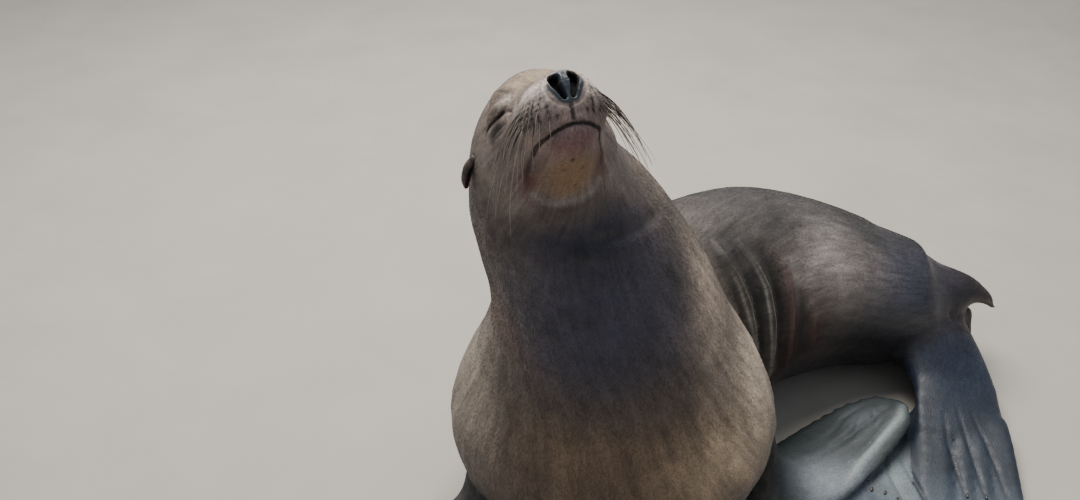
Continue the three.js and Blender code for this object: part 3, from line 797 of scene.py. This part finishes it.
# %% Paint the face
face = head_mask * (1 - ramp(-HEADWISE[:, 2], 62, 84) * ramp(HEADWISE[:, 1], -88, -66))
paint("80716a", face)
paint("7d6c53", on_face((0, -112, 52), (50, 60, 30)) * face)
wet(0.5, on_face((0, -130, 40), (50, 60, 40)) * face)
# A painted sheen on the top of the muzzle.
paint("b5a299", on_face((0, -160, -10), (60, 46, 28)) * face * 0.95)
# On each side: painted highlights on the side of the muzzle, over the brow and along the ridge of the muzzle,
# then the reddish lips and the upper lip.
for side in (1, -1):
    paint("cdc2ba", on_face((side * 32, -160, 12), (16, 46, 12)) * 0.6)
    paint("cdc2b8", on_face((side * 44, -104, 38), (12, 18, 8)) * 0.5)
    paint("dccbc2", on_face((side * 30, -180, 0), (13, 22, 12)) * 0.8)
    paint("5a2f2c", on_face((side * 42, -98, -58), (12, 34, 20)) * face)
    paint("8c7670", on_face((side * 18, -178, -29), (18, 16, 9)) * 0.8)
paint("7d5c5c", on_face((0, -158, -52), (36, 24, 14)) * face)
chin = on_face((0, -112, -70), (38, 40, 24), 4)
paint("84694f", chin)
for spot in ((-2, -138, -63), (12, -120, -69), (-10, -122, -70), (-20, -96, -77), (24, -128, -64),
             (6, -92, -78)):
    paint("1c120c", on_face(spot, (2.4, 2.4, 8)))
to_left = np.sign(HEADWISE[:, :1]) ** [[1, 0, 0]]  # turns the right half over onto the left one
mirrored, mirrored_facing = HEADWISE * to_left, HEADFACING * to_left


def face_stroke(line, width, taper=0.2):
    return stroke(mirrored, mirrored_facing, line, width, taper) * (HEADWISE[:, 1] < 20)


paint("8a7f78", face_stroke([(0, -76, -84), (13, -74, -83), (27, -72, -76), (39, -74, -65)], 5, 0) * 0.8)
# Painted highlights along the ridge of the muzzle and over the brow.
paint("ded4cb", face_stroke([(27, -184, 6), (36, -160, 10), (41, -132, 18)], 5, 0.15) * 0.5)
paint("ddd3c8", face_stroke([(37, -113, 39), (46, -104, 37), (53, -95, 34)], 3.4, 0.4) * 0.5)
TEARS = [(56, -93, 14), (60, -86, 12), (63, -81, 6)]
paint("15100f", face_stroke(TEARS, 8, 0) * 0.9)
wet(0.8, face_stroke(TEARS, 7, 0))
# Painted shade in the slit of the eye, in the line of the mouth, in the groove under the nose and in the
# corners of the mouth.
paint("2a2120", face_stroke(SLIT, 4, 0) * 0.8)
paint("0c0809", face_stroke(SLIT, 1.9, 0.1))
paint("3e2a2c", face_stroke(MOUTH, 3, 0) * 0.6)
paint("0e090a", face_stroke(MOUTH, 1.4, 0))
paint("1c1416", face_stroke([(0, -188, -20), (0, -183, -28), (0, -179, -36)], 1.8, 0.1) * 0.9)
paint("2c1d1d", face_stroke(CORNER, 3, 0.5) * 0.8)
pad_half = np.interp(HEADWISE[:, 2], [-23, -15, 0, 20], [6, 12, 21, 24])  # it narrows downwards
nose_pad = of_pieces(["nose"], 5)
nose = nose_pad * (HEADWISE[:, 1] < -176) * ramp(pad_half - mirrored[:, 0], -1.5, 1.5)
paint("2f373f", nose)
wet(0.7, nose)
# A painted highlight down the middle of the nose.
paint("444e57", face_stroke([(0, -190, 16), (0, -190, -14)], 1.6, 0.2) * nose * 0.8)
pit = nostril_share(HEADWISE)
# Painted shade: the sunk openings of the nostrils are painted nearly black.
paint("050506", ramp(pit, 0.02, 0.3))
wet(0, ramp(pit, 0.02, 0.3))

# %% [markdown]
# Whiskers stand in rows, each in a dark pit. Their roots are points of the skin, so that the painted pits
# and the whiskers made later are in the same places.

# %% Roots of the whiskers
WHISKER_ROWS, WHISKER_COLUMNS, ROOT_GAP, PIT_RADIUS = 5, 7, 5.4, 2.1  # the last two in mm


def whisker_roots():
    """The points of the skin nearest to a grid of five rows on each pad."""
    roots = []
    for side in (1, -1):
        pad = (HEADWISE[:, 0] * side > 16) & (HEADWISE[:, 1] < -130) & (HEADFACING[:, 0] * side > 0.2)
        pad = np.flatnonzero(pad)
        for row in range(WHISKER_ROWS):
            for column in range(WHISKER_COLUMNS):
                back = -183 + ROOT_GAP * column + 2.5 * (row % 2)
                up = -6 - ROOT_GAP * row + 0.8 * column
                away = np.hypot(HEADWISE[pad, 1] - back, HEADWISE[pad, 2] - up)
                roots.append((side, row, column, pad[away.argmin()]))
    return roots


roots = whisker_roots()
for side, row, column, at in roots:
    paint("1b1517", on_face(HEADWISE[at], PIT_RADIUS))
print("painted, with", len(roots), "whisker roots")

# %% [markdown]
# Hair of one colour still shows streaks, because locks lie together and part. Random numbers drawn out
# along the unrolled sheet give them, at three sizes. The paint is then stored on the skin as *attributes*,
# which the materials and the tufts can read.

# %% Keep the paint on the skin
def keep(mesh, name, values):
    """Stores one number or one colour for each point of a mesh."""
    if values.ndim == 1:
        mesh.attributes.new(name, "FLOAT", "POINT").data.foreach_set("value", values.astype(np.float32))
    else:
        full = np.concatenate([values, np.ones((len(values), 1))], 1).astype(np.float32)
        mesh.attributes.new(name, "FLOAT_COLOR", "POINT").data.foreach_set("color", full.ravel())


STREAK_TONE = 1.15
STREAK_CELLS = ((230, 34), (90, 70), (420, 60))  # round the body and along it: 5 mm by 50 mm, and so on


def streaks(sheet):
    """Smooth random numbers about 0.5, drawn out along the hair, which join where the sheet meets itself."""
    total = np.zeros(len(sheet))
    for seed, (wide, tall) in enumerate(STREAK_CELLS):
        table = np.random.default_rng(seed).random((wide, tall + 2))  # seeded, so each run is the same
        x, y = sheet[:, 0] * wide, sheet[:, 1] * tall
        i, j = np.floor(x).astype(int), np.floor(y).astype(int)
        fx, fy = ramp(x - i, 0, 1), ramp(y - j, 0, 1)
        i, other = i % wide, (i + 1) % wide
        total += ((table[i, j] * (1 - fx) + table[other, j] * fx) * (1 - fy)
                  + (table[i, j + 1] * (1 - fx) + table[other, j + 1] * fx) * fy)
    return total / len(STREAK_CELLS)


hue = hue * (1 + STREAK_TONE * (streaks(sheet) - 0.5) * (1 - 0.7 * bare) * (1 - 0.7 * chin))[:, None]
keep(skin_mesh, "hue", hue)
keep(skin_mesh, "gloss", gloss)
bareness = bare + nose_pad + pit + face_stroke(SLIT, 4, 0) + face_stroke(MOUTH, 3.5, 0)
bareness = np.clip(bareness, 0, 1)
keep(skin_mesh, "bareness", bareness)
sleek = np.clip(bareness + 0.9 * all_strokes(ROLLS + VALLEYS, 1.3) + 0.6 * chin, 0, 1)

# %% [markdown]
# ## Materials
# A small function adds a node with its settings and what feeds it, so a material reads as a list of
# layers. Roughness decides how sharp a reflection is: a dry coat scatters light at about 0.7, and wet
# hair and bare wet skin shine at 0.4 to 0.5. The index of refraction is 1.55 for horn and hair, and 1.5
# for the hide, where hair and wet skin mix.

# %% Tools for materials
def material(name):
    made = bpy.data.materials.new(name)
    made.use_nodes = True
    return made, made.node_tree, made.node_tree.nodes["Principled BSDF"]


def feed(tree, node, inputs):
    """Gives a node its inputs: numbers, colours, or the outputs that feed them."""
    for name, value in inputs.items():
        if isinstance(value, bpy.types.NodeSocket):
            tree.links.new(value, node.inputs[name])
        else:
            node.inputs[name].default_value = value


def add(tree, kind, inputs=None, **settings):
    """Adds a node with its inputs and its settings."""
    node = tree.nodes.new("ShaderNode" + kind)
    for name, value in settings.items():
        setattr(node, name, value)
    feed(tree, node, inputs or {})
    return node


def painted(tree, name, output="Fac"):
    """The values that the mesh keeps under this name."""
    return add(tree, "Attribute", attribute_name=name).outputs[output]


def colour(code):
    return (*linear(code), 1)


def noise(tree, size, detail=2, rough=0.5, warp=0.0):
    """Cloudy noise whose patches are about size millimetres wide."""
    place = add(tree, "TexCoord").outputs["Object"]
    return add(tree, "TexNoise", {"Vector": place, "Scale": 500 / size, "Detail": detail, "Roughness": rough,
                                  "Distortion": warp}).outputs["Fac"]


def span(tree, value, low, high, bottom, top):
    """Stretches the numbers between low and high over bottom to top."""
    return add(tree, "MapRange", {"Value": value, "From Min": low, "From Max": high, "To Min": bottom,
                                  "To Max": top}).outputs["Result"]


def between(tree, value, dark, light, low=0.3, high=0.7):
    """A colour that goes from dark to light as the value goes from low to high."""
    ramp_node = add(tree, "ValToRGB", {"Fac": value})
    for element, place, code in zip(ramp_node.color_ramp.elements, (low, high), (dark, light)):
        element.position, element.color = place, colour(code)
    return ramp_node.outputs["Color"]


def times(tree, one, other):
    return add(tree, "Math", {0: one, 1: other}, operation="MULTIPLY").outputs["Value"]


def patterned(tree, shader, pattern, dark, light, smooth, rough, relief, strength, depth):
    """Colours and roughens a material after a pattern, and raises it after a relief."""
    bump = add(tree, "Bump", {"Strength": strength, "Distance": depth * MM, "Height": relief})
    feed(tree, shader, {"Base Color": between(tree, pattern, dark, light), "Normal": bump.outputs["Normal"],
                        "Roughness": span(tree, pattern, 0.3, 0.7, smooth, rough)})


# %% [markdown]
# The hide carries the painted colour. Two noises break it up: a broad one, as hair fades unevenly, and a
# fine one for the separate hairs, drawn 1.5 mm coarse instead of 0.1 mm so that a picture can show it. Where
# it is wet it is smoother to the touch and to the light, and where it is bare it has the fine net of
# creases of skin.

# %% Hide
def hide_material(name, is_coat):
    made, tree, shader = material(name)
    broad = span(tree, noise(tree, 38, 3, 0.6, 0.4), 0.3, 0.7, 0.8, 1.2)
    fine = span(tree, noise(tree, 1.6, 2), 0.3, 0.7, 0.88 if is_coat else 0.8, 1.12 if is_coat else 1.2)
    tone = times(tree, broad, fine)
    tinted = add(tree, "VectorMath", {0: painted(tree, "hue", "Color"), "Scale": tone},
                 operation="SCALE").outputs["Vector"]
    rough = times(tree, span(tree, painted(tree, "gloss"), 0, 1, 0.78, 0.3),
                  span(tree, noise(tree, 9, 3), 0.35, 0.65, 0.85, 1.2))
    feed(tree, shader, {"Base Color": tinted, "Roughness": rough, "IOR": 1.5})
    if is_coat:
        feed(tree, shader, {"Sheen Weight": 0.12, "Sheen Roughness": 0.4})
        return made
    place = add(tree, "TexCoord").outputs["Object"]
    net = add(tree, "TexVoronoi", {"Vector": place, "Scale": 260, "Randomness": 1.0},
              feature="DISTANCE_TO_EDGE").outputs["Distance"]
    creases = times(tree, span(tree, net, 0.0, 0.12, 0, 1), painted(tree, "bareness"))
    grain = noise(tree, 2.2, 3, 0.6)
    height = add(tree, "Math", {0: times(tree, creases, 0.5), 1: grain}, operation="ADD").outputs["Value"]
    bump = add(tree, "Bump", {"Strength": 0.5, "Distance": 0.0007, "Height": height})
    feed(tree, shader, {"Normal": bump.outputs["Normal"]})
    return made


hide = hide_material("hide, short hair over loose skin", False)
fur = hide_material("short stiff hair, damp in places", True)
skin = into_scene("skin", skin_mesh)
skin_mesh.shade_smooth()
skin_mesh.materials.clear()
skin_mesh.materials.append(hide)
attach(skin, "root")
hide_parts(*FLESH)
print("skin:", sum(len(face.vertices) - 2 for face in skin_mesh.polygons), "triangles")

# %% [markdown]
# ## The coat
# A sea lion's hair is a centimetre long at most and lies flat. Hairs are drawn in tufts: each is a flat
# closed spike of four triangles, rooted just under the skin, lying along the hair's way and rising half a
# millimetre at its tip. Some 270,000 of them overlap like the hair of a brush. They are placed at random,
# evenly by area, with their own small turn, length and tone, because a regular grid would show. They are
# lit with the normals of the skin below them, turned out a little at their two edges, so each looks round
# and the sleek coat stays sleek. The program's own hair would be easier to make, but it is lost when the
# model is exported, so these are mesh.

# %% Scatter the roots
CHANCE = np.random.default_rng(7)
COATS = {  # how many tufts, and a tuft's length, width and rise in mm
    "coat_head": (("head", "lower_jaw"), 44000, 3.6, 0.75, 0.35),
    "coat_neck": (("neck",), 46000, 7.5, 1.15, 0.5),
    "coat_chest_left": (("chest",), 46000, 8, 1.25, 0.5),
    "coat_chest_right": (("chest",), 46000, 8, 1.25, 0.5),
    "coat_flank": (("flank",), 42000, 8, 1.15, 0.45),
    "coat_rump": (("rump", "tail"), 26000, 7, 1.1, 0.4),
    "coat_limbs": (("forearm_left", "forearm_right", "hind_leg_left", "hind_leg_right"), 20000, 5.5, 1,
                   0.35),
}
LOWEST_ROOT, LEAST_HEIGHT = 3 * MM, 0.2 * MM  # above the floor: of a root, and of any point of a tuft
THINNING = 1.3  # how fast the tufts grow fewer as the skin gets bare
BREAST = -0.12  # where the breast is parted into a left and a right coat
ROUND = 0.55  # how far a tuft's two edges turn away from its middle, so that light rounds it
YAW, TONE = 8, 0.22  # how much tufts differ in direction, in degrees, and in tone
SHADES = np.array([0.82, 0.82, 0.65, 1.18])[:, None]  # of a tuft's two root corners, underside and tip
ROOT_DEPTH, UNDER_DEPTH, UNDER_SHARE = 0.15 * MM, 0.9 * MM, 0.25  # the last along the tuft's length
PATCH = 0.003  # the width of a tuft's patch on the unrolled sheet
STRIP = {"spine": 0, "fore_left": 0, "fore_right": 1, "hind_left": 2, "hind_right": 3}

skin_mesh.calc_loop_triangles()
corners = array_of(skin_mesh.loop_triangles, "vertices", 3, np.int32)
points, normals = points_of(skin_mesh), normals_of(skin_mesh)
lie = unit(lie - normals * (lie * normals).sum(1)[:, None])
sides = points[corners]
areas = np.linalg.norm(np.cross(sides[:, 1] - sides[:, 0], sides[:, 2] - sides[:, 0]), axis=1) / 2
face_owner = owners[corners[:, 0]]
left_of_breast = sides[:, :, 0].mean(1) > BREAST


def scatter(names, count, side):
    """Random places on the chosen faces: the face, and its corners' shares of the place."""
    wanted = np.isin(face_owner, [FLESH.index(name) for name in names])
    if side:
        wanted &= left_of_breast == (side > 0)
    weight = areas * wanted * (1 - 0.999 * np.clip(THINNING * sleek[corners].max(1), 0, 1))
    weight *= points[corners[:, 0], 2] > LOWEST_ROOT
    face = CHANCE.choice(len(weight), count, p=weight / weight.sum())
    one, two = CHANCE.random((2, count))
    over = one + two > 1
    one[over], two[over] = 1 - one[over], 1 - two[over]
    print(f"  {names[0]}: {weight.sum():.3f} m2, one tuft on {weight.sum() * 1e6 / count:.1f} mm2")
    return face, np.stack([1 - one - two, one, two], 1)


# %% [markdown]
# A tuft has four corners: two at its root, one sunk in the skin that closes it, and its tip. It is darker
# at the root, where the light doesn't reach, and paler at the tip. Faces are wound so that their fronts
# look outwards, or a lit tuft would come out black.

# %% Make the tufts
def blend_of(values, face, shares):
    return (values[corners[face]] * shares[:, :, None]).sum(1)


def tufts(names, count, long, wide, rise, side=0):
    """Points, normals to light them with, colours and gloss of the tufts, four points each, and each root's
    nearest skin point.
    """
    face, shares = scatter(names, count, side)
    nearest = corners[face, shares.argmax(1)]
    at = blend_of(points, face, shares)
    up = unit(blend_of(normals, face, shares))
    way = unit(blend_of(lie, face, shares))
    across = np.cross(up, way)
    yaw = np.radians(CHANCE.normal(0, YAW, count))[:, None]
    way = np.cos(yaw) * way + np.sin(yaw) * across
    across = np.cross(up, way)
    dry = 1 - gloss[nearest][:, None]
    long = long * CHANCE.uniform(0.7, 1.25, (count, 1)) * MM
    wide = wide * CHANCE.uniform(0.75, 1.2, (count, 1)) * MM
    rise = rise * CHANCE.uniform(0.5, 1.3, (count, 1)) * (0.55 + 0.6 * dry) * MM
    left = at - across * wide / 2 - up * ROOT_DEPTH
    right = at + across * wide / 2 - up * ROOT_DEPTH
    under = at - up * UNDER_DEPTH + way * long * UNDER_SHARE
    tip = at + way * long + up * rise
    placed = np.stack([left, right, under, tip], 1).reshape(-1, 3)
    placed[:, 2] = np.maximum(placed[:, 2], LEAST_HEIGHT)
    tone = CHANCE.normal(1, TONE, (count, 1)).clip(0.45, 1.7)
    colours = (hue[nearest][:, None, :] * (tone[:, None] * SHADES)).reshape(-1, 3)
    shown = np.stack([up - ROUND * across, up + ROUND * across, up, up + 0.2 * way], 1)
    return placed, unit(shown.reshape(-1, 3)), colours, np.repeat(gloss[nearest], 4), nearest


def tuft_mesh(name, placed, shown, colours, glosses, nearest):
    """A mesh of the tufts: their faces, their normals, their paint and their places on the sheet."""
    count = len(nearest)
    first = np.arange(count)[:, None] * 4
    faces = (first[:, :, None] + np.array([[1, 0, 3], [2, 1, 3], [0, 2, 3], [0, 1, 2]])).reshape(-1)
    mesh = bpy.data.meshes.new(name)
    mesh.vertices.add(count * 4)
    mesh.loops.add(len(faces))
    mesh.polygons.add(len(faces) // 3)
    mesh.vertices.foreach_set("co", placed.astype(np.float32).ravel())
    mesh.loops.foreach_set("vertex_index", faces.astype(np.int32))
    mesh.polygons.foreach_set("loop_start", np.arange(0, len(faces), 3, dtype=np.int32))
    mesh.update(calc_edges=True)
    mesh.normals_split_custom_set_from_vertices(shown.astype(np.float32))
    keep(mesh, "hue", colours)
    keep(mesh, "gloss", glosses)
    strips = np.array([STRIP[b] for b in bone_name[nearest]])
    wide = 1 / (strips.max() + 1)
    across, along = sheet[nearest].T
    along = (along - along.min()) / (along.max() - along.min())
    base = np.stack([(strips + 0.02 + 0.95 * across) * wide, 0.01 + 0.97 * along], 1)
    shape = np.array([[0, 0], [1, 0], [0.5, 0.4], [0.5, 1]]) * PATCH
    sheet_of_point = (base[:, None, :] + shape).reshape(-1, 2)
    layer = mesh.uv_layers.new(name="OFBake")
    layer.data.foreach_set("uv", sheet_of_point[faces].astype(np.float32).ravel())
    return mesh


coat_triangles = 0
for name, (names, count, long, wide, rise) in COATS.items():
    side = {"left": 1, "right": -1}.get(name.split("_")[-1], 0)
    placed, shown, colours, glosses, nearest = tufts(names, count, long, wide, rise, side)
    mesh = tuft_mesh(name, placed, shown, colours, glosses, nearest)
    mesh.materials.append(fur)
    coat = into_scene(name, mesh)
    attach(coat, "root")
    coat_triangles += len(mesh.polygons)
print("coat:", coat_triangles, "triangles")

# %% [markdown]
# ## Whiskers
# Sea lions have thirty to forty stiff whiskers on each side, of pale horn, the longest at the back.
# Each is a bent, tapering tube that starts at a root on the pad and sweeps back and down.

# %% Whiskers
WHISKER_RINGS, WHISKER_SIDES, WHISKER_THICK = 9, 6, 0.48
SHORTEST, BY_COLUMN, BY_ROW = 8, 15.5, 5  # mm: a whisker's length grows with its place in the grid
BACK, LOW = HEAD_TURN @ [0, 1, 0], HEAD_TURN @ [0, 0, -1]


def wall_faces(rings, sides):
    """The four-sided faces between rings of points."""
    return [[ring * sides + k, ring * sides + (k + 1) % sides, (ring + 1) * sides + (k + 1) % sides,
             (ring + 1) * sides + k] for ring in range(rings - 1) for k in range(sides)]


def tube(path, radii, sides):
    """A closed tapering tube along a path: its points and faces."""
    ways = unit(np.gradient(path, axis=0))
    across = unit(np.cross(ways, [0.3, 0.2, 1]))
    up = np.cross(ways, across)
    turns = np.linspace(0, 2 * math.pi, sides, endpoint=False)
    rings = [at + r * (np.outer(np.cos(turns), a) + np.outer(np.sin(turns), b))
             for at, r, a, b in zip(path, radii, across, up)]
    faces = wall_faces(len(path), sides)
    faces += [list(range(sides))[::-1], [(len(path) - 1) * sides + j for j in range(sides)]]
    return np.concatenate(rings), faces


def whisker(root, row, column):
    outward = normals[root]
    length = (SHORTEST + BY_COLUMN * column + BY_ROW * (row % 3)) * CHANCE.uniform(0.8, 1.15) * MM
    start = unit((0.55 * outward + 0.4 * BACK + 0.5 * LOW)[None])[0]
    end = unit((0.15 * outward + 0.55 * BACK + 0.85 * LOW + CHANCE.normal(0, 0.07, 3))[None])[0]
    t = np.linspace(0, 1, WHISKER_RINGS)[:, None]
    path = points[root] - outward * 1.0 * MM + length * (start * (t - t * t / 2) + end * t * t / 2)
    thick = (WHISKER_THICK + 0.03 * column) * (1 - 0.8 * t[:, 0]) * MM
    return tube(path, thick, WHISKER_SIDES)


def joined(name, shapes):
    """One mesh from several lots of points and faces."""
    places, faces, first = [], [], 0
    for some, some_faces in shapes:
        places.append(some)
        faces += [[first + i for i in face] for face in some_faces]
        first += len(some)
    mesh = bpy.data.meshes.new(name)
    mesh.from_pydata(np.concatenate(places).tolist(), [], faces)
    mesh.update()
    mesh.shade_smooth()
    return mesh


def piece(name, mesh, finish, replaces=()):
    """Puts a mesh in the scene as a piece that rides the body."""
    thing = into_scene(name, mesh)
    mesh.materials.clear()
    mesh.materials.append(finish)
    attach(thing, "root")
    if replaces:
        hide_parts(*replaces)
    return thing


bristle, tree, shader = material("pale horn of a whisker")
mottle = noise(tree, 6, 3)
shift = add(tree, "Math", {0: painted(tree, "tip"), 1: times(tree, mottle, 0.4)}, operation="ADD")
feed(tree, shader, {"Base Color": between(tree, shift.outputs["Value"], "17110f", "96897a", 0.45, 1),
                    "Roughness": span(tree, mottle, 0.3, 0.7, 0.3, 0.45), "IOR": 1.55})
for side, label in ((1, "left"), (-1, "right")):
    shapes = [whisker(at, row, column) for of_side, row, column, at in roots if of_side == side]
    mesh = joined("whiskers", shapes)
    tip = np.tile(np.repeat(np.linspace(0, 1, WHISKER_RINGS), WHISKER_SIDES), len(shapes))
    tip += np.repeat(CHANCE.choice([0, 0.15, 0.5], len(shapes)), WHISKER_RINGS * WHISKER_SIDES)
    keep(mesh, "tip", tip)
    piece("whiskers_" + label, mesh, bristle)
print("whiskers:", len(roots))

# %% [markdown]
# ## Ears
# The outer ear is a leaf only some 40 mm long, rolled into a cone that points back and down. Its
# cross-section is a C: an outer wall, an inner wall a millimetre inside it, and a slot that opens
# downwards.

# %% Ears
EARS = {"ear_left": [(72, -14, 20), (82, -4, 12), (88, 6, 2), (88, 14, -7)],
        "ear_right": [(-72, -14, 20), (-84, -4, 12), (-90, 6, 1), (-91, 14, -9)]}
EAR_GIRTH, EAR_WALL, EAR_RINGS, EAR_SIDES = [4.5, 6.5, 5.8, 1.6], 1.3, 14, 12


def rolled_leaf(path, girth):
    """A leaf rolled about a path: the outer wall, then the inner wall back, in each ring."""
    stops = np.linspace(0, 1, len(path))
    t = np.linspace(0, 1, EAR_RINGS)
    path = np.stack([np.interp(t, stops, np.array(path)[:, k]) for k in range(3)], 1)
    path = spread(path, np.stack([np.arange(EAR_RINGS - 1), np.arange(1, EAR_RINGS)], 1), 2, 0.4)
    girth = np.interp(t, stops, girth)
    ways = unit(np.gradient(path, axis=0))
    down = unit(np.array([0, 0.25, -1.0]) - ways * (ways @ [0, 0.25, -1.0])[:, None])
    across = np.cross(ways, down)
    turns = np.radians(np.linspace(38, 322, EAR_SIDES))
    rings = []
    for at, r, a, b in zip(path, girth, down, across):
        wall = np.outer(np.cos(turns), a) + np.outer(np.sin(turns), b)
        rings.append(np.concatenate([at + r * wall, (at + max(r - EAR_WALL, 0.4) * wall)[::-1]]))
    around = 2 * EAR_SIDES
    faces = wall_faces(EAR_RINGS, around)
    for ring, turned in ((0, -1), (EAR_RINGS - 1, 1)):
        for j in range(EAR_SIDES - 1):
            quad = [ring * around + k for k in (j, j + 1, around - 2 - j, around - 1 - j)]
            faces.append(quad[::turned])
    return np.concatenate(rings), faces


def outward_faces(mesh):
    work = bmesh.new()
    work.from_mesh(mesh)
    bmesh.ops.recalc_face_normals(work, faces=work.faces)
    work.to_mesh(mesh)
    work.free()


def from_head(places):
    return np.array(places) @ HEAD_TURN.T * MM + HEAD_PLACE


gristle, tree, shader = material("thin dark skin of the ear")
patterned(tree, shader, noise(tree, 4, 3), "2f2725", "5e4f47", 0.42, 0.6, noise(tree, 1.6, 3), 0.4, 0.6)
for name, path in EARS.items():
    places, faces = rolled_leaf(path, EAR_GIRTH)
    mesh = joined(name, [(from_head(places), faces)])
    outward_faces(mesh)
    piece("pinna_" + name.split("_")[1], mesh, gristle, [name])

# %% [markdown]
# ## Nails
# The three middle toes of each hind foot carry a nail that lies in the hide. The solid's nail has a few
# flat sides, so its copy is rounded by subdivision. Nails are horn: dark, striped lengthwise and polished.

# %% Nails
horn, tree, shader = material("dark polished horn of a nail")
place = add(tree, "TexCoord").outputs["Object"]
stretch = add(tree, "Mapping", {"Vector": place, "Scale": (1.0, 0.12, 1.0)}).outputs["Vector"]
stripes = add(tree, "TexNoise", {"Vector": stretch, "Scale": 700, "Detail": 2}).outputs["Fac"]
patterned(tree, shader, stripes, "1d1a1b", "5c544e", 0.22, 0.38, stripes, 0.3, 0.4)
feed(tree, shader, {"IOR": 1.55})
for name in [name for name in nodes if name.startswith("claw")]:
    draft = into_scene("draft", mesh_from(welded(name), name))
    rounding = draft.modifiers.new("rounding", "SUBSURF")
    rounding.levels = rounding.render_levels = 2
    mesh = applied(draft)
    mesh.shade_smooth()
    piece(name.replace("claw", "nail"), mesh, horn, [name])

# %% [markdown]
# ## Eyes
# A sea lion's eye is large and dark, with a brown iris so wide open in shade that little white shows. Only
# a wet line of it can be seen between the lids. The ball is a sphere; the iris and the pupil are rings
# about the axis that it looks along. Tears make it mirror-smooth, with the index of water, 1.34 to 1.38.

# %% Eyes
EYE_PLACE, EYE_RADIUS, EYE_LOOKS = (39, -83, 18), 16.8, (0.80, -0.52, 0.28)
for side, label in ((1, "left"), (-1, "right")):
    middle = from_head([(side * EYE_PLACE[0], *EYE_PLACE[1:])])[0]
    gaze = unit((HEAD_TURN @ (side * EYE_LOOKS[0], *EYE_LOOKS[1:]))[None])[0]
    wet_eye, tree, shader = material("wet dark eye, " + label)
    place = add(tree, "TexCoord").outputs["Object"]
    off = add(tree, "VectorMath", {0: place, 1: tuple(middle)}, operation="SUBTRACT").outputs["Vector"]
    ahead = add(tree, "VectorMath", {0: off, 1: tuple(gaze / (EYE_RADIUS * MM))}, operation="DOT_PRODUCT")
    fibres = times(tree, noise(tree, 1.5, 3), 0.05)
    ring = add(tree, "Math", {0: ahead.outputs["Value"], 1: fibres}, operation="ADD").outputs["Value"]
    rings = add(tree, "ValToRGB", {"Fac": ring})
    stops = rings.color_ramp.elements
    stops[0].position, stops[0].color = 0.60, colour("3a2c28")
    stops[1].position, stops[1].color = 0.95, colour("020202")
    for at, code in ((0.68, "1a100c"), (0.74, "3b2114"), (0.88, "2a150c"), (0.92, "060404")):
        stops.new(at).color = colour(code)
    feed(tree, shader, {"Base Color": rings.outputs["Color"], "Roughness": 0.06, "IOR": 1.38,
                        "Coat Weight": 1})
    ball = bmesh.new()
    bmesh.ops.create_uvsphere(ball, u_segments=48, v_segments=32, radius=EYE_RADIUS * MM)
    mesh = mesh_from(ball, "eyeball_" + label)
    set_points(mesh, points_of(mesh) + middle)
    mesh.shade_smooth()
    piece("eyeball_" + label, mesh, wet_eye, ["eye_" + label])

# %% [markdown]
# ## The studio
# A plain pale floor takes a soft shadow. One wide lamp hangs high above and a little behind the animal, so
# that its raised face and its back are bright and its throat and its underside fall into shade, as under
# open sky. The pale surroundings fill the shade with a little bluish light.

# %% Studio
FLOOR_HALF = 6.0
floor_mesh = bpy.data.meshes.new("floor")
floor_mesh.from_pydata([(x * FLOOR_HALF, y * FLOOR_HALF, 0) for x, y in ((-1, -1), (1, -1), (1, 1), (-1, 1))],
                       [], [[0, 1, 2, 3]])
floor = into_scene("floor", floor_mesh)
pale, tree, shader = material("matt pale floor")
cloud = noise(tree, 120, 4, 0.6)
patterned(tree, shader, cloud, "afaaa2", "b8b2a9", 0.75, 0.9, noise(tree, 5, 3), 0.15, 1)
floor_mesh.materials.append(pale)
floor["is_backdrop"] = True


def lamp(name, place, target, size, power, code):
    """A round lamp, size metres wide, of so many watts, that looks at its target."""
    light = into_scene(name, bpy.data.lights.new(name, "AREA"))
    light.data.shape = "DISK"
    light.data.size = size
    light.data.energy = power
    light.data.color = tuple(linear(code))
    light.location = place
    light.rotation_euler = (Vector(target) - Vector(place)).to_track_quat("-Z", "Y").to_euler()


SKY_LAMP = {"place": (-0.5, 1.1, 3.1), "target": (0, 0, 0.3), "size": 2.6, "power": 190, "code": "fffaf2"}
lamp("sky_lamp", **SKY_LAMP)
world = bpy.data.worlds.new("surroundings")
bpy.context.scene.world = world
world.use_nodes = True
feed(world.node_tree, world.node_tree.nodes["Background"], {"Color": colour("e4ebf5"), "Strength": 0.42})

# %% [markdown]
# ## Measure
# The box round the solids and the box round all that is seen are measured and printed side by side.
# The looks may not change the size.

# %% Measure and finish
seen_box = [list(corner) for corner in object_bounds()]
boxes = {"solids": solid_box, "seen": seen_box}
boxes = {name: [list(map(float, corner)) for corner in box] for name, box in boxes.items()}
print("solids:", [[round(v, 4) for v in c] for c in solid_box])
print("seen:  ", [[round(v, 4) for v in c] for c in seen_box])
